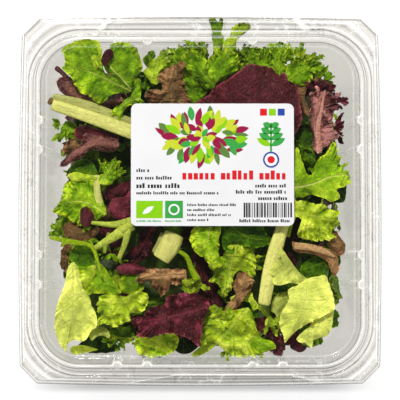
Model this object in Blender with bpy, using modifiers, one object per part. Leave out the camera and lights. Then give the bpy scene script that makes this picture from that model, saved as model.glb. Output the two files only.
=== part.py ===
"""Clear plastic punnet of baby salad leaves: a ribbed tray, a domed press-fit lid, a paper label and the
heap of leaves inside, in metres, +Z up. The origin is under the middle of the foot."""

import math
from collections import namedtuple

import bmesh
import bpy
from mathutils import Vector, noise

MM = 0.001

# Driving sizes of the pack
WIDTH = 189.0 * MM  # over the lid's skirt, left to right
DEPTH = 193.0 * MM  # over the lid's skirt, front to back
BACK_GRIP = 3.0 * MM  # how much wider the rim is along the back edge
WALL = 0.5 * MM  # sheet thickness of tray and lid
FIT_GAP = 0.4 * MM  # between the tray's rim and the lid over it
RIM_Z = 58.0 * MM  # top of the tray's flange
LID_TOP_Z = 72.4 * MM  # top of the lid's raised shoulder
PANEL_DROP = 1.0 * MM  # how far the lid's middle panel lies below its shoulder
FLOOR_LIFT = 2.2 * MM  # how far the tray's middle floor stands above its foot

# Where the tray's wall meets its flange, as insets from the lid's outer edge
MOUTH_INSET = 11.1 * MM
MOUTH_CORNER = 22.0 * MM  # corner radius of the wall there
MOUTH_MIDDLE = -BACK_GRIP / 2  # its middle, front to back
RIM_CHAMFER = 9.0 * MM  # leg of the cut-off corners of the rims
SIDE_BOW = 1.2 * MM  # how far each long side of the rims bulges

# The tray's foot and wall, as steps inwards from the level above, and heights
WALL_SLOPE = 7.6 * MM  # from the mouth in to the wall's lower end
WALL_END_Z = 7.5 * MM
HEEL_STEP = 8.8 * MM  # from the mouth in to the top of the heel
HEEL_Z = 2.4 * MM
FOOT_STEP = 3.2 * MM  # from the heel in to the foot's outer edge
FOOT_WIDTH = 8.0 * MM
FLOOR_STEP = 2.0 * MM  # from the foot in to the raised floor
FLOOR_CORNERS = (12.0 * MM, 13.0 * MM, 15.0 * MM, 17.0 * MM, 17.5 * MM)  # radii, from the middle outwards
MOUTH_FOLD = 1.4 * MM  # height of the fold between wall and flange
LIP_DROP = 5.0 * MM  # of the turned-down lip, from the flange
LIP_FOLDS = (1.2 * MM, 0.3 * MM, 0.9 * MM)  # insets of the lip's fold, and its height

# The lid, as insets from its outer edge, and heights
SKIRT_DROP = 6.0 * MM  # of the skirt, from the tray's flange
SKIRT_LEAN = 0.1 * MM
SHOULDER_DROP = 0.8 * MM  # from the flange to the end of the upright skirt
SHOULDER_INSETS = (0.8 * MM, 2.2 * MM)
SHOULDER_FOLD = 0.7 * MM
RIM_RISE = 1.4 * MM  # of the lid's flat rim over the groove's bottom
RIM_END = 5.6 * MM
GROOVE_INSETS = (6.3 * MM, 7.7 * MM)
DOME_INSETS = (8.6 * MM, 9.7 * MM, 10.6 * MM, 12.0 * MM)
DOME_DROPS = (2.2 * MM, 0.6 * MM)  # of the dome's folds, from its top
PANEL_INSETS = (15.2 * MM, 16.2 * MM)

# Shallow finger rests pressed into the lid's rim: ends at its outer and at its inner edge, left to right
FRONT_REST = ((-32.0 * MM, 58.0 * MM), (-12.0 * MM, 46.0 * MM))
BACK_REST = ((-45.0 * MM, 48.0 * MM), (-50.0 * MM, 53.0 * MM))
REST_DEPTH = 0.5 * MM
REST_RAMP = 7.0 * MM

# Stiffening ribs, in two pairs on each wall
RIB_PAIR_OFFSET = 35.0 * MM  # middle of a pair from the middle of the wall
RIB_SPACING = 15.4 * MM  # between the two ribs of a pair
RIB_FOOT = 5.4 * MM  # width of a rib at the wall
RIB_CREST = 2.6 * MM  # width of its rounded top
RIB_DEPTH = 1.9 * MM

# Label
LABEL_WIDTH = 83.0 * MM
LABEL_LENGTH = 62.5 * MM
LABEL_CORNER = 3.0 * MM
LABEL_THICKNESS = 0.2 * MM
LABEL_CENTRE = (6.35 * MM, 16.75 * MM)
LABEL_GAP = 0.3 * MM  # meshes that touch keep this gap

# Heap of leaves
HEAP_SIDE_GAP = 1.2 * MM  # kept from the ribs, left and right
HEAP_END_GAP = 0.5 * MM  # kept from the ribs, front and back
HEAP_CELLS = (20, 20, 10)  # grid of the cage, left to right, front to back and upwards
HEAP_PLAN_RADIUS = 30.0 * MM
HEAP_EDGE_RADIUS = 15.0 * MM
HEAP_CLUMP_SIZE = 30.0 * MM  # of the clumps of leaves, with creases between them
HEAP_CREASE_DEPTH = 7.0 * MM
HEAP_CREASE_SHARPNESS = 3.5
HEAP_RELIEF_SIZE = 9.0 * MM  # of single leaves
HEAP_RELIEF_DEPTH = 3.0 * MM
HEAP_RELIEF_SHIFT = Vector((7.0, 3.0, 5.0))  # so that the leaves don't follow the clumps
HEAP_LEAST_UNEVENNESS = 0.2  # share of the unevenness that is left at the bottom

CORNER_STEPS = 6

# A ring is one closed level of a shell: inset from the lid's outer edge, height, corner size (a radius, or
# the chamfer's leg), share of chamfer, share of the back grip that it leaves out, share of rib depth, and
# how the finger rests press it down: None, or 0 for a ring at the rim's outer edge and 1 at its inner one.
Ring = namedtuple("Ring", "inset z corner cut back rib rest")

# Each side's outward normal, and its direction when the outline runs anticlockwise
RIGHT, BACK, LEFT, FRONT = (Vector(v) for v in ((1, 0), (0, 1), (-1, 0), (0, -1)))
SIDES = ((RIGHT, BACK), (BACK, LEFT), (LEFT, FRONT), (FRONT, RIGHT))


def clear_scene():
    for obj in list(bpy.data.objects):
        bpy.data.objects.remove(obj)


def rib_middles():
    """Places of the ribs along a wall, from its middle."""
    return [
        side * RIB_PAIR_OFFSET + hand * RIB_SPACING / 2
        for side in (-1, 1)
        for hand in (-1, 1)
    ]


def rib_stations():
    """Places along a wall where the ribs need a point, and the share of rib depth there."""
    points = [(0.0, 0.0)]
    for middle in rib_middles():
        for hand in (-1, 1):
            points.append((middle + hand * RIB_FOOT / 2, 0.0))
            points.append((middle + hand * RIB_CREST / 2, 1.0))
    return sorted(points)


def spread(start, end, count):
    """Places evenly spread between start and end, without them."""
    return [start + (end - start) * k / (count + 1) for k in range(1, count + 1)]


def rest_stations(ring, along, start, end):
    """Places along the front or back of the lid, from start to end, and the share of rest depth there."""
    low, high = (FRONT_REST if along == RIGHT else BACK_REST)[1 if ring.rest is None else ring.rest]
    if along == LEFT:
        low, high = -high, -low
    places = [(s, 0.0) for s in spread(start, low - REST_RAMP, 1) + [low - REST_RAMP]]
    places += [(s, 1.0) for s in [low, *spread(low, high, 3), high]]
    places += [(s, 0.0) for s in [high + REST_RAMP, *spread(high + REST_RAMP, end, 1)]]
    pressed = 0.0 if ring.rest is None else 1.0
    return [(s, depth * pressed) for s, depth in places]


def side_stations(ring, along, start, end, with_ribs):
    """Places along a side from start to end, each with its share of rib depth and of rest depth."""
    if with_ribs:
        middle = MOUTH_MIDDLE * along.y
        places = [(middle + s, rib, 0.0) for s, rib in rib_stations()]
    elif along in (BACK, FRONT):
        places = [(s, 0.0, 0.0) for s in spread(start, end, 5)]
    else:
        places = [(s, 0.0, rest) for s, rest in rest_stations(ring, along, start, end)]
    return [(start, 0.0, 0.0), *places, (end, 0.0, 0.0)]


def outline(ring, with_ribs):
    """The closed outline of a ring, anticlockwise seen from above, as points in space."""
    bulge = SIDE_BOW * ring.cut
    half_x = WIDTH / 2 - ring.inset - bulge
    front = -DEPTH / 2 + ring.inset + bulge
    back = DEPTH / 2 - ring.inset - BACK_GRIP * ring.back - bulge
    points = []
    for normal, along in SIDES:
        if normal in (RIGHT, LEFT):
            reach, low, high = half_x, front, back
        else:
            reach, low, high = (back if normal == BACK else -front), -half_x, half_x
        if along in (LEFT, FRONT):
            low, high = -high, -low
        start, end = low + ring.corner, high - ring.corner
        for s, rib, rest in side_stations(ring, along, start, end, with_ribs):
            share = (2 * s - start - end) / (end - start)
            out = reach + bulge * (1 - share * share) - rib * ring.rib * RIB_DEPTH
            points.append((normal * out + along * s).to_3d() + Vector((0, 0, ring.z - rest * REST_DEPTH)))
        arc_middle = normal * (reach - ring.corner) + along * end
        for step in range(1, CORNER_STEPS):
            share = step / CORNER_STEPS
            turn = share * math.pi / 2
            on_arc = normal * math.cos(turn) + along * math.sin(turn)
            on_cut = normal * (1 - share) + along * share
            place = arc_middle + ring.corner * on_arc.lerp(on_cut, ring.cut)
            points.append(place.to_3d() + Vector((0, 0, ring.z)))
    return points


def loft(name, rings, with_ribs, closed_end):
    """An open shell through the rings, with a flat panel over the ring at closed_end (0 or -1)."""
    bm = bmesh.new()
    levels = [[bm.verts.new(point) for point in outline(ring, with_ribs)] for ring in rings]
    for lower, upper in zip(levels, levels[1:]):
        for i, vert in enumerate(lower):
            after = (i + 1) % len(lower)
            bm.faces.new((vert, lower[after], upper[after], upper[i]))
    panel = levels[closed_end]
    bm.faces.new(panel if closed_end else reversed(panel))
    mesh = bpy.data.meshes.new(name)
    bm.to_mesh(mesh)
    bm.free()
    return bpy.data.objects.new(name, mesh)


def thicken(obj):
    """Gives the open shell its wall, on the side away from its faces' normals."""
    solid = obj.modifiers.new("Wall", "SOLIDIFY")
    solid.thickness = WALL
    solid.offset = -1.0
    solid.use_even_offset = True


def material(name, colour, roughness, alpha=1.0):
    mat = bpy.data.materials.new(name)
    mat.use_nodes = True
    shader = mat.node_tree.nodes["Principled BSDF"]
    shader.inputs["Base Color"].default_value = (*colour, 1.0)
    shader.inputs["Roughness"].default_value = roughness
    shader.inputs["Metallic"].default_value = 0.0
    shader.inputs["Alpha"].default_value = alpha
    return mat


def finish(obj, mat, collection, sharp_degrees=None):
    obj.data.materials.append(mat)
    if sharp_degrees is not None:
        obj.data.shade_smooth()
        obj.data.set_sharp_from_angle(angle=math.radians(sharp_degrees))
    collection.objects.link(obj)
    return obj


def wall_corner(inset):
    """Corner radius that keeps the walls' corners concentric."""
    return MOUTH_CORNER - (inset - MOUTH_INSET)


def rim_ring(inset, z, rest=None):
    """A ring of the tray's or lid's outer rim, with cut-off corners a constant distance apart."""
    leg = RIM_CHAMFER - (2 - math.sqrt(2)) * inset
    return Ring(inset, z, leg, 1.0, 0.0, 0.0, rest)


def wall_ring(inset, z, rib=0.0, corner=None, rest=None):
    """A ring of a wall with rounded corners, a constant distance from the others unless corner says more."""
    return Ring(inset, z, corner or wall_corner(inset), 0.0, 1.0, rib, rest)


def tray_rings():
    """From the middle floor outwards over the foot, up the ribbed wall and out to the rim's turned-down lip."""
    lip_inset = 2 * WALL + FIT_GAP  # of the lip's inner face, as the wall thickens outwards there
    lip_outer, lip_inner, lip_fold = LIP_FOLDS
    heel_inset = MOUTH_INSET + HEEL_STEP
    foot_inset = heel_inset + FOOT_STEP
    under_z = RIM_Z - WALL
    floor, inner_foot, outer_foot, heel, wall_end = FLOOR_CORNERS
    return [
        wall_ring(foot_inset + FOOT_WIDTH + FLOOR_STEP, FLOOR_LIFT, corner=floor),
        wall_ring(foot_inset + FOOT_WIDTH, 0.0, corner=inner_foot),
        wall_ring(foot_inset, 0.0, corner=outer_foot),
        wall_ring(heel_inset, HEEL_Z, corner=heel),
        wall_ring(MOUTH_INSET + WALL_SLOPE, WALL_END_Z, rib=1.0, corner=wall_end),
        wall_ring(MOUTH_INSET + 0.3 * MM, RIM_Z - MOUTH_FOLD, rib=1.0),
        wall_ring(MOUTH_INSET - 0.7 * MM, under_z, rib=1.0),
        rim_ring(lip_inset + lip_outer, under_z),
        rim_ring(lip_inset + lip_inner, under_z - lip_fold),
        rim_ring(lip_inset, RIM_Z - LIP_DROP),
    ]


def lid_rings():
    """From the skirt up over the rim, down into the snap groove, up the dome's wall and in to the panel."""
    seat_z = RIM_Z + WALL + FIT_GAP
    rim_top_z = seat_z + RIM_RISE
    dome_foot, dome_wall, dome_fold, dome_top = DOME_INSETS
    return [
        rim_ring(0.0, RIM_Z - SKIRT_DROP),
        rim_ring(SKIRT_LEAN, RIM_Z - SHOULDER_DROP),
        rim_ring(SHOULDER_INSETS[0], rim_top_z - SHOULDER_FOLD, rest=0),
        rim_ring(SHOULDER_INSETS[1], rim_top_z, rest=0),
        wall_ring(RIM_END, rim_top_z, rest=1),
        wall_ring(GROOVE_INSETS[0], seat_z),
        wall_ring(GROOVE_INSETS[1], seat_z),
        wall_ring(dome_foot, rim_top_z),
        wall_ring(dome_wall, LID_TOP_Z - DOME_DROPS[0]),
        wall_ring(dome_fold, LID_TOP_Z - DOME_DROPS[1]),
        wall_ring(dome_top, LID_TOP_Z),
        wall_ring(PANEL_INSETS[0], LID_TOP_Z),
        wall_ring(PANEL_INSETS[1], LID_TOP_Z - PANEL_DROP),
    ]


def make_tray(collection):
    shell = loft("tray", tray_rings(), with_ribs=True, closed_end=0)
    thicken(shell)
    return finish(shell, material("clear_tray_plastic", (0.90, 0.92, 0.92), 0.08, 0.3), collection, 30)


def make_lid(collection):
    shell = loft("lid", lid_rings(), with_ribs=False, closed_end=-1)
    thicken(shell)
    return finish(shell, material("clear_lid_plastic", (0.92, 0.93, 0.94), 0.06, 0.3), collection, 30)


def make_label(collection):
    """A rounded rectangle of paper, lying on the lid's panel."""
    bpy.ops.mesh.primitive_cube_add(size=1.0)
    label = bpy.context.object
    label.name = label.data.name = "label"
    for owner in list(label.users_collection):
        owner.objects.unlink(label)
    label.data.transform(
        ((LABEL_WIDTH, 0, 0, 0), (0, LABEL_LENGTH, 0, 0), (0, 0, LABEL_THICKNESS, 0), (0, 0, 0, 1))
    )
    bm = bmesh.new()
    bm.from_mesh(label.data)
    uprights = [e for e in bm.edges if abs(e.verts[0].co.z - e.verts[1].co.z) > LABEL_THICKNESS / 2]
    bmesh.ops.bevel(bm, geom=uprights, offset=LABEL_CORNER, segments=5, profile=0.5, affect="EDGES")
    bm.to_mesh(label.data)
    bm.free()
    rest_z = LID_TOP_Z - PANEL_DROP + LABEL_GAP + LABEL_THICKNESS / 2
    label.location = (*LABEL_CENTRE, rest_z)
    return finish(label, material("label_paper", (0.93, 0.93, 0.92), 0.45), collection)


def heap_half_sizes(z):
    """Half of the room inside the tray's ribs at height z, left to right and front to back."""
    floor_half = WIDTH / 2 - MOUTH_INSET - HEEL_STEP
    mouth_half = WIDTH / 2 - MOUTH_INSET
    share = min(1.0, max(0.0, z / RIM_Z))
    inside = floor_half + (mouth_half - floor_half) * share - RIB_DEPTH - WALL
    return inside - HEAP_SIDE_GAP, inside - HEAP_END_GAP


def past_straight(value, half):
    """How far value lies past the straight part of a side that ends in the heap's corner radius."""
    straight = half - HEAP_PLAN_RADIUS
    return value - max(-straight, min(straight, value))


def heap_block_point(cube_point, bottom, top):
    """Moves a point of a cube's surface, of half size 1, onto a block with rounded corners and edges whose
    sides follow the tray's wall."""
    z = bottom + (cube_point.z + 1) / 2 * (top - bottom)
    half_x, half_y = heap_half_sizes(z)
    x, y = cube_point.x * half_x, cube_point.y * half_y
    over = Vector((past_straight(x, half_x), past_straight(y, half_y)))
    if over.length > 0:
        pulled = over * (max(abs(over.x), abs(over.y)) / over.length)
        x, y = x - over.x + pulled.x, y - over.y + pulled.y
    to_end = min(z - bottom, top - z) / HEAP_EDGE_RADIUS
    if to_end < 1:
        shrink = HEAP_EDGE_RADIUS * (1 - math.sqrt(1 - (1 - to_end) ** 2))
        x *= 1 - shrink / half_x
        y *= 1 - shrink / half_y
    return Vector((x, y, z))


def heap_unevenness(place):
    """How deep the heap's surface lies at a place: in creases between clumps, and between single leaves."""
    crease = max(0.0, 1 - HEAP_CREASE_SHARPNESS * abs(noise.noise(place / HEAP_CLUMP_SIZE)))
    relief = 0.5 + 0.5 * noise.noise(place / HEAP_RELIEF_SIZE + HEAP_RELIEF_SHIFT)
    return HEAP_CREASE_DEPTH * crease + HEAP_RELIEF_DEPTH * relief


def heap_cage():
    """A cube of half size 1, cut into a grid that is finer towards its top and bottom."""
    bm = bmesh.new()
    bmesh.ops.create_cube(bm, size=2.0)
    for axis, cells in enumerate(HEAP_CELLS):
        normal = Vector((0, 0, 0))
        normal[axis] = 1
        for cut in range(1, cells):
            share = -math.cos(math.pi * cut / cells) if axis == 2 else -1 + 2 * cut / cells
            everything = bm.verts[:] + bm.edges[:] + bm.faces[:]
            bmesh.ops.bisect_plane(bm, geom=everything, plane_co=normal * share, plane_no=normal)
    return bm


def make_heap(collection):
    """The whole heap of leaves as one solid with an uneven outline."""
    bm = heap_cage()
    bottom = FLOOR_LIFT + WALL + LABEL_GAP
    top = LID_TOP_Z - PANEL_DROP - WALL - LABEL_GAP
    for vert in bm.verts:
        vert.co = heap_block_point(vert.co.copy(), bottom, top)
    bmesh.ops.recalc_face_normals(bm, faces=bm.faces)
    bm.normal_update()
    for vert in bm.verts:
        height = (vert.co.z - bottom) / (top - bottom)
        share = max(HEAP_LEAST_UNEVENNESS, height)
        vert.co -= vert.normal * heap_unevenness(vert.co) * share
    for vert in bm.verts:
        vert.co.y += MOUTH_MIDDLE
    mesh = bpy.data.meshes.new("salad_heap")
    bm.to_mesh(mesh)
    bm.free()
    heap = bpy.data.objects.new("salad_heap", mesh)
    return finish(heap, material("salad_leaf", (0.24, 0.42, 0.06), 0.5), collection, 60)


def main():
    clear_scene()
    collection = bpy.data.collections.new("salad_tray")
    bpy.context.scene.collection.children.link(collection)
    pack = bpy.data.objects.new("pack", None)
    collection.objects.link(pack)
    for make in (make_tray, make_lid, make_label, make_heap):
        make(collection).parent = pack


main()
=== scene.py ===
"""Looks of a clear tray of baby salad leaves: a ribbed tray and a domed lid of clear plastic, a paper label
with plain print, and the loose leaves inside. Laid out as an add-on, and run as a script."""

import math
import random
from collections import namedtuple

import bpy
import numpy as np
from bpy.props import FloatProperty, FloatVectorProperty, IntProperty, PointerProperty
from mathutils import Matrix, Vector


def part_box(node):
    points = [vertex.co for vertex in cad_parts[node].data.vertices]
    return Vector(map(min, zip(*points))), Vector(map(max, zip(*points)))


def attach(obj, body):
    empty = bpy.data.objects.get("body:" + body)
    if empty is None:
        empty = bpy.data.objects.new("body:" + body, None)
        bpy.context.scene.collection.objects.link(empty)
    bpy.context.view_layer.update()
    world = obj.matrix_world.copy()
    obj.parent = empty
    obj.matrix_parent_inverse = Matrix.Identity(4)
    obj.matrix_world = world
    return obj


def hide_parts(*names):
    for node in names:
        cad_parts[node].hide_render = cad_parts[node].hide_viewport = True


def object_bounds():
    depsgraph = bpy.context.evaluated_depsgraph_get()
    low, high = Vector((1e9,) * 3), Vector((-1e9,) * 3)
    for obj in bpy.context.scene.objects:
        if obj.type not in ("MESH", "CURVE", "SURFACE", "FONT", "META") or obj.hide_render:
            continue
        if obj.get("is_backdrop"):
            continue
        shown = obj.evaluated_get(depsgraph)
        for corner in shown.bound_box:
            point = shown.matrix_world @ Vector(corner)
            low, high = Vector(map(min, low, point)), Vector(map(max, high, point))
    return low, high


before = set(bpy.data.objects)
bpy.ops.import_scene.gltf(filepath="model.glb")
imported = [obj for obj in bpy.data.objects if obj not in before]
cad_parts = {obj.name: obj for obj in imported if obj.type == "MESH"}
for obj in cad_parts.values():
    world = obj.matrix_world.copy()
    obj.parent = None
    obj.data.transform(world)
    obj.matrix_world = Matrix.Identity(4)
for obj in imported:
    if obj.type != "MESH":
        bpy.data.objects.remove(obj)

bl_info = {
    "name": "Tray of salad leaves",
    "version": (1, 0, 0),
    "blender": (4, 5, 0),
    "location": "3D View > Sidebar > Salad tray",
    "description": "Makes a clear tray of baby salad leaves with its lid, label and leaves",
    "category": "Add Mesh",
}

MM = 0.001
CAD_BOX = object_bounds()
TRAY_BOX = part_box("tray")
LID_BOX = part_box("lid")
LABEL_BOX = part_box("label")
HEAP_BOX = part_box("salad_heap")


# SETTINGS THAT A USER WOULD CHANGE


def linear(red, green, blue):
    """A screen colour, 0 to 255, as the linear colour that shaders work in, by the sRGB curve."""
    shares = (c / 255 for c in (red, green, blue))
    return tuple(c / 12.92 if c <= 0.04045 else ((c + 0.055) / 1.055) ** 2.4 for c in shares)


def length_setting(name, description, millimetres):
    return FloatProperty(
        name=name, description=description, default=millimetres * MM, min=0.0, unit="LENGTH", precision=4
    )


def colour_setting(name, description, colour):
    return FloatVectorProperty(
        name=name, description=description, default=colour, subtype="COLOR", size=3, min=0.0, max=1.0
    )


class SaladTrayShell(bpy.types.PropertyGroup):
    """Sizes of the tray and the lid that their overall size doesn't give"""

    mouth_inset: length_setting("Mouth inset", "From the rim's edge to the top of the tray's wall", 11.1)
    mouth_corner: length_setting("Mouth corner", "Corner radius at the top of the tray's wall", 22.0)
    rim_chamfer: length_setting("Rim chamfer", "Leg of the rim's cut-off corners", 9.0)
    side_bow: length_setting("Side bow", "How far each side of the rim bulges", 1.2)
    back_grip: length_setting("Back grip", "How much wider the rim is along the back", 3.0)
    rib_depth: length_setting("Rib depth", "How far the wall's ribs stand inwards", 2.0)
    rib_width: length_setting("Rib width", "Width of a rib at the wall", 5.4)
    rest_depth: length_setting("Rest depth", "Depth of the finger rests in the lid's rim", 0.5)
    plastic: colour_setting("Plastic", "What the plastic lets through", (0.960, 0.946, 0.918))
    # the edge colour is also what the painted shade along folds darkens to
    edge: colour_setting("Plastic edge", "What it lets through where it's seen edge on", (0.25, 0.25, 0.24))
    haze: FloatProperty(
        name="Haze", description="Share of light that the plastic scatters", default=0.035, min=0.0, max=1.0,
        subtype="FACTOR",
    )


class SaladTrayLabel(bpy.types.PropertyGroup):
    """Colours of the label and its print"""

    paper: colour_setting("Paper", "Coated white paper", linear(237, 236, 237))
    ink: colour_setting("Ink", "Small print and stripes", linear(45, 45, 48))
    title: colour_setting("Title", "Large print", linear(212, 30, 40))
    blue: colour_setting("Blue", "Blue print", linear(40, 70, 160))
    green: colour_setting("Green", "Sprig and dark panel", linear(60, 160, 70))
    bright: colour_setting("Bright green", "Bright panel", linear(135, 200, 20))


class SaladTrayLeaves(bpy.types.PropertyGroup):
    """Colours of the leaves, and how many there are under the ones on top"""

    green: colour_setting("Green", "Smooth lettuce", linear(132, 186, 8))
    lime: colour_setting("Lime", "Curly pale lettuce", linear(186, 214, 28))
    pale: colour_setting("Pale", "Large pale leaf", linear(226, 238, 108))
    dark: colour_setting("Dark green", "Smooth dark leaves", linear(58, 98, 4))
    maroon: colour_setting("Maroon", "Large dark red leaf", linear(84, 14, 28))
    rose: colour_setting("Rose", "Dull red leaves", linear(158, 96, 86))
    bronze: colour_setting("Bronze", "Brown leaves", linear(146, 108, 62))
    stem: colour_setting("Stem", "Pale ribs and stems", linear(244, 243, 140))
    wall_leaves: IntProperty(name="Wall leaves", description="Leaves in each row along the wall", default=26)
    floor_leaves: IntProperty(name="Floor leaves", description="Leaves in each row on the floor", default=5)
    seed: IntProperty(name="Seed", description="Start of the random numbers", default=4)


def settings(context, group):
    return getattr(context.scene, "salad_tray_" + group)


# MESHES AND PIECES


def new_piece(name, mesh, material, smooth=True):
    """An object of this mesh that rides on the pack, with the given material."""
    obj = bpy.data.objects.new(name, mesh)
    bpy.context.scene.collection.objects.link(obj)
    mesh.materials.append(material)
    if smooth:
        mesh.shade_smooth()
    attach(obj, "root")
    return obj


def grid_faces(rows, columns, closed=False, first=0):
    """Quads of a grid of points that are numbered row by row. A closed grid joins its last column to its
    first."""
    row = np.arange(rows - 1)[:, None] * columns
    column = np.arange(columns if closed else columns - 1)[None, :]
    after = (column + 1) % columns
    corners = (row + column, row + after, row + columns + after, row + columns + column)
    return np.stack([c.ravel() for c in corners], axis=1) + first


def mesh_of(name, points, quads):
    """A mesh from an array of points and an array of quads."""
    mesh = bpy.data.meshes.new(name)
    mesh.vertices.add(len(points))
    mesh.vertices.foreach_set("co", np.asarray(points, dtype=np.float32).ravel())
    mesh.loops.add(quads.size)
    mesh.loops.foreach_set("vertex_index", quads.astype(np.int32).ravel())
    mesh.polygons.add(len(quads))
    mesh.polygons.foreach_set("loop_start", np.arange(0, quads.size, 4, dtype=np.int32))
    mesh.update(calc_edges=True)
    mesh.validate()
    return mesh


# MATERIALS


class Nodes:
    """Builds a material's nodes by short calls."""

    def __init__(self, name):
        self.material = bpy.data.materials.new(name)
        self.material.use_nodes = True
        self.tree = self.material.node_tree
        self.tree.nodes.clear()
        self.output = self.tree.nodes.new("ShaderNodeOutputMaterial")

    def add(self, kind, inputs=(), **values):
        """A node of this kind, with its properties and then its inputs set or linked."""
        node = self.tree.nodes.new("ShaderNode" + kind)
        for key, value in values.items():
            setattr(node, key, value)
        for key, value in dict(inputs).items():
            socket = node.inputs[key]
            if isinstance(value, bpy.types.NodeSocket):
                self.tree.links.new(value, socket)
            elif socket.type == "RGBA" and len(value) == 3:
                socket.default_value = (*value, 1.0)
            else:
                socket.default_value = value
        return node

    def math(self, operation, first, second=0.0, third=0.0, clamp=False):
        inputs = {0: first, 1: second, 2: third}
        return self.add("Math", inputs, operation=operation, use_clamp=clamp).outputs[0]

    def times(self, first, second):
        return self.math("MULTIPLY", first, second)

    def smooth(self, value, low, high):
        """0 below low and 1 above high, with a smooth change between; or the other way round."""
        inputs = {"Value": value, "From Min": low, "From Max": high}
        return self.add("MapRange", inputs, interpolation_type="SMOOTHSTEP").outputs["Result"]

    def near(self, value, level, width):
        """1 where value is at level, and 0 where it's off it by more than width."""
        return self.smooth(self.math("ABSOLUTE", self.math("SUBTRACT", value, level)), width, 0.0)

    def mix(self, share, first, second):
        return self.add("Mix", {0: share, 6: first, 7: second}, data_type="RGBA").outputs[2]

    def mix_shaders(self, share, first, second):
        return self.add("MixShader", {0: share, 1: first, 2: second}).outputs[0]

    def noise(self, vector, scale, detail=2.0, roughness=0.5, output="Fac"):
        inputs = {"Vector": vector, "Scale": scale, "Detail": detail, "Roughness": roughness}
        return self.add("TexNoise", inputs).outputs[output]

    def place(self):
        return self.add("TexCoord").outputs["Object"]

    def stretched(self, vector, scale):
        return self.add("Mapping", {"Vector": vector, "Scale": scale}).outputs[0]

    def attribute(self, name, output):
        return self.add("Attribute", attribute_name=name).outputs[output]

    def parts(self, vector):
        """The three numbers of a vector."""
        return self.add("SeparateXYZ", {0: vector}).outputs

    def bump(self, height, strength, distance):
        inputs = {"Height": height, "Strength": strength, "Distance": distance}
        return self.add("Bump", inputs).outputs[0]

    def surface(self, colour, roughness, shine, **more):
        inputs = {"Base Color": colour, "Roughness": roughness, "Specular IOR Level": shine, **more}
        return self.add("BsdfPrincipled", inputs).outputs[0]

    def finish(self, shader):
        self.tree.links.new(shader, self.output.inputs["Surface"])
        return self.material


def times(colour, share):
    """The colour, darker or brighter by this share, up to white."""
    return tuple(min(1.0, c * share) for c in colour)


FOLD_SHADE = 0.95  # how dark the painted shade along a dark fold is
FOLD_GLINT = 0.95  # how white the painted glint along a white fold is
FACE_MIRROR, SLANT_MIRROR = 0.05, 0.45  # share of light that the sheet mirrors, and how much more at a slant
EDGE_SHADE = 0.5  # how dark the sheet is edge on
WISP_START, WISP_FULL = 76.0 * MM, 86.0 * MM  # from the middle: the wisps lie in the rim
DARK_WISP, WHITE_WISP, WISP_WIDTH = 0.46, 0.54, 0.010  # levels of the noise that they follow
# colour of the sheet's haze, and of its painted glints
MILK = (0.97, 0.97, 0.96)
MILK_BEHIND = (0.5, 0.5, 0.5)  # light that comes through from behind, in the painted glints


def clear_plastic(name, shell, roughness, stretch, waviness, haze, wisps):
    """Thin clear sheet: it darkens where it's seen edge on, mirrors more at a slant, and scatters a little.
    Folds show as painted shade, dark lines where a bend would throw light aside, or as painted glints, white
    lines where diffuse and translucent light are added together. Wisps show as faint darker curved lines and
    as painted glints. The sheet's faint waves run along the directions that stretch leaves short."""
    nodes = Nodes(name)
    facing = nodes.add("LayerWeight", {"Blend": 0.5}).outputs["Facing"]
    # painted shade along dark folds, and painted glints along white ones
    line = nodes.attribute("fold_line", "Fac")
    slant = nodes.math("POWER", facing, 5.0)
    mirror = nodes.math("MULTIPLY_ADD", slant, SLANT_MIRROR, FACE_MIRROR, clamp=True)
    edge_on = nodes.times(nodes.math("POWER", facing, 3.0), EDGE_SHADE)

    x, y, _ = nodes.parts(nodes.place())
    outer = nodes.math("MAXIMUM", nodes.math("ABSOLUTE", x), nodes.math("ABSOLUTE", y))
    wisps = nodes.times(nodes.smooth(outer, WISP_START, WISP_FULL), wisps)
    # the wisps: faint darker curved lines, and white ones that are painted glints
    wisp = nodes.noise(nodes.place(), 38.0, 3.0, 0.6)
    dark_wisp = nodes.near(wisp, DARK_WISP, WISP_WIDTH)
    wisp_glint = nodes.near(wisp, WHITE_WISP, WISP_WIDTH)
    dark = nodes.math("MULTIPLY_ADD", dark_wisp, wisps, nodes.times(line, FOLD_SHADE))
    dark = nodes.math("MAXIMUM", dark, edge_on)
    through = nodes.mix(dark, tuple(shell.plastic), tuple(shell.edge))

    waves = nodes.noise(nodes.stretched(nodes.place(), stretch), 60.0, 2.0)
    fine = nodes.noise(nodes.place(), 420.0, 2.0)
    bump = nodes.bump(nodes.math("MULTIPLY_ADD", fine, 0.12, waves), waviness, 1.5 * MM)

    clear = nodes.add("BsdfTransparent", {"Color": through}).outputs[0]
    gloss = nodes.add("BsdfGlossy", {"Color": (1.0, 1.0, 1.0), "Roughness": roughness, "Normal": bump})
    milky = nodes.add("BsdfDiffuse", {"Color": MILK}).outputs[0]
    film = nodes.mix_shaders(mirror, clear, gloss.outputs[0])
    cloudy = nodes.math("MULTIPLY_ADD", facing, shell.haze, haze, clamp=True)
    film = nodes.mix_shaders(cloudy, film, milky)
    # painted glints: where folds and wisps are white, diffuse and translucent light are added together and
    # shine brighter than the light on the sheet
    white = nodes.math("MAXIMUM", nodes.times(line, -FOLD_GLINT), 0.0)
    white = nodes.math("MULTIPLY_ADD", wisp_glint, wisps, white, clamp=True)
    lit_through = nodes.add("BsdfTranslucent", {"Color": MILK_BEHIND}).outputs[0]
    glint = nodes.add("AddShader", {0: milky, 1: lit_through}).outputs[0]
    return nodes.finish(nodes.mix_shaders(white, film, glint))


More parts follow.
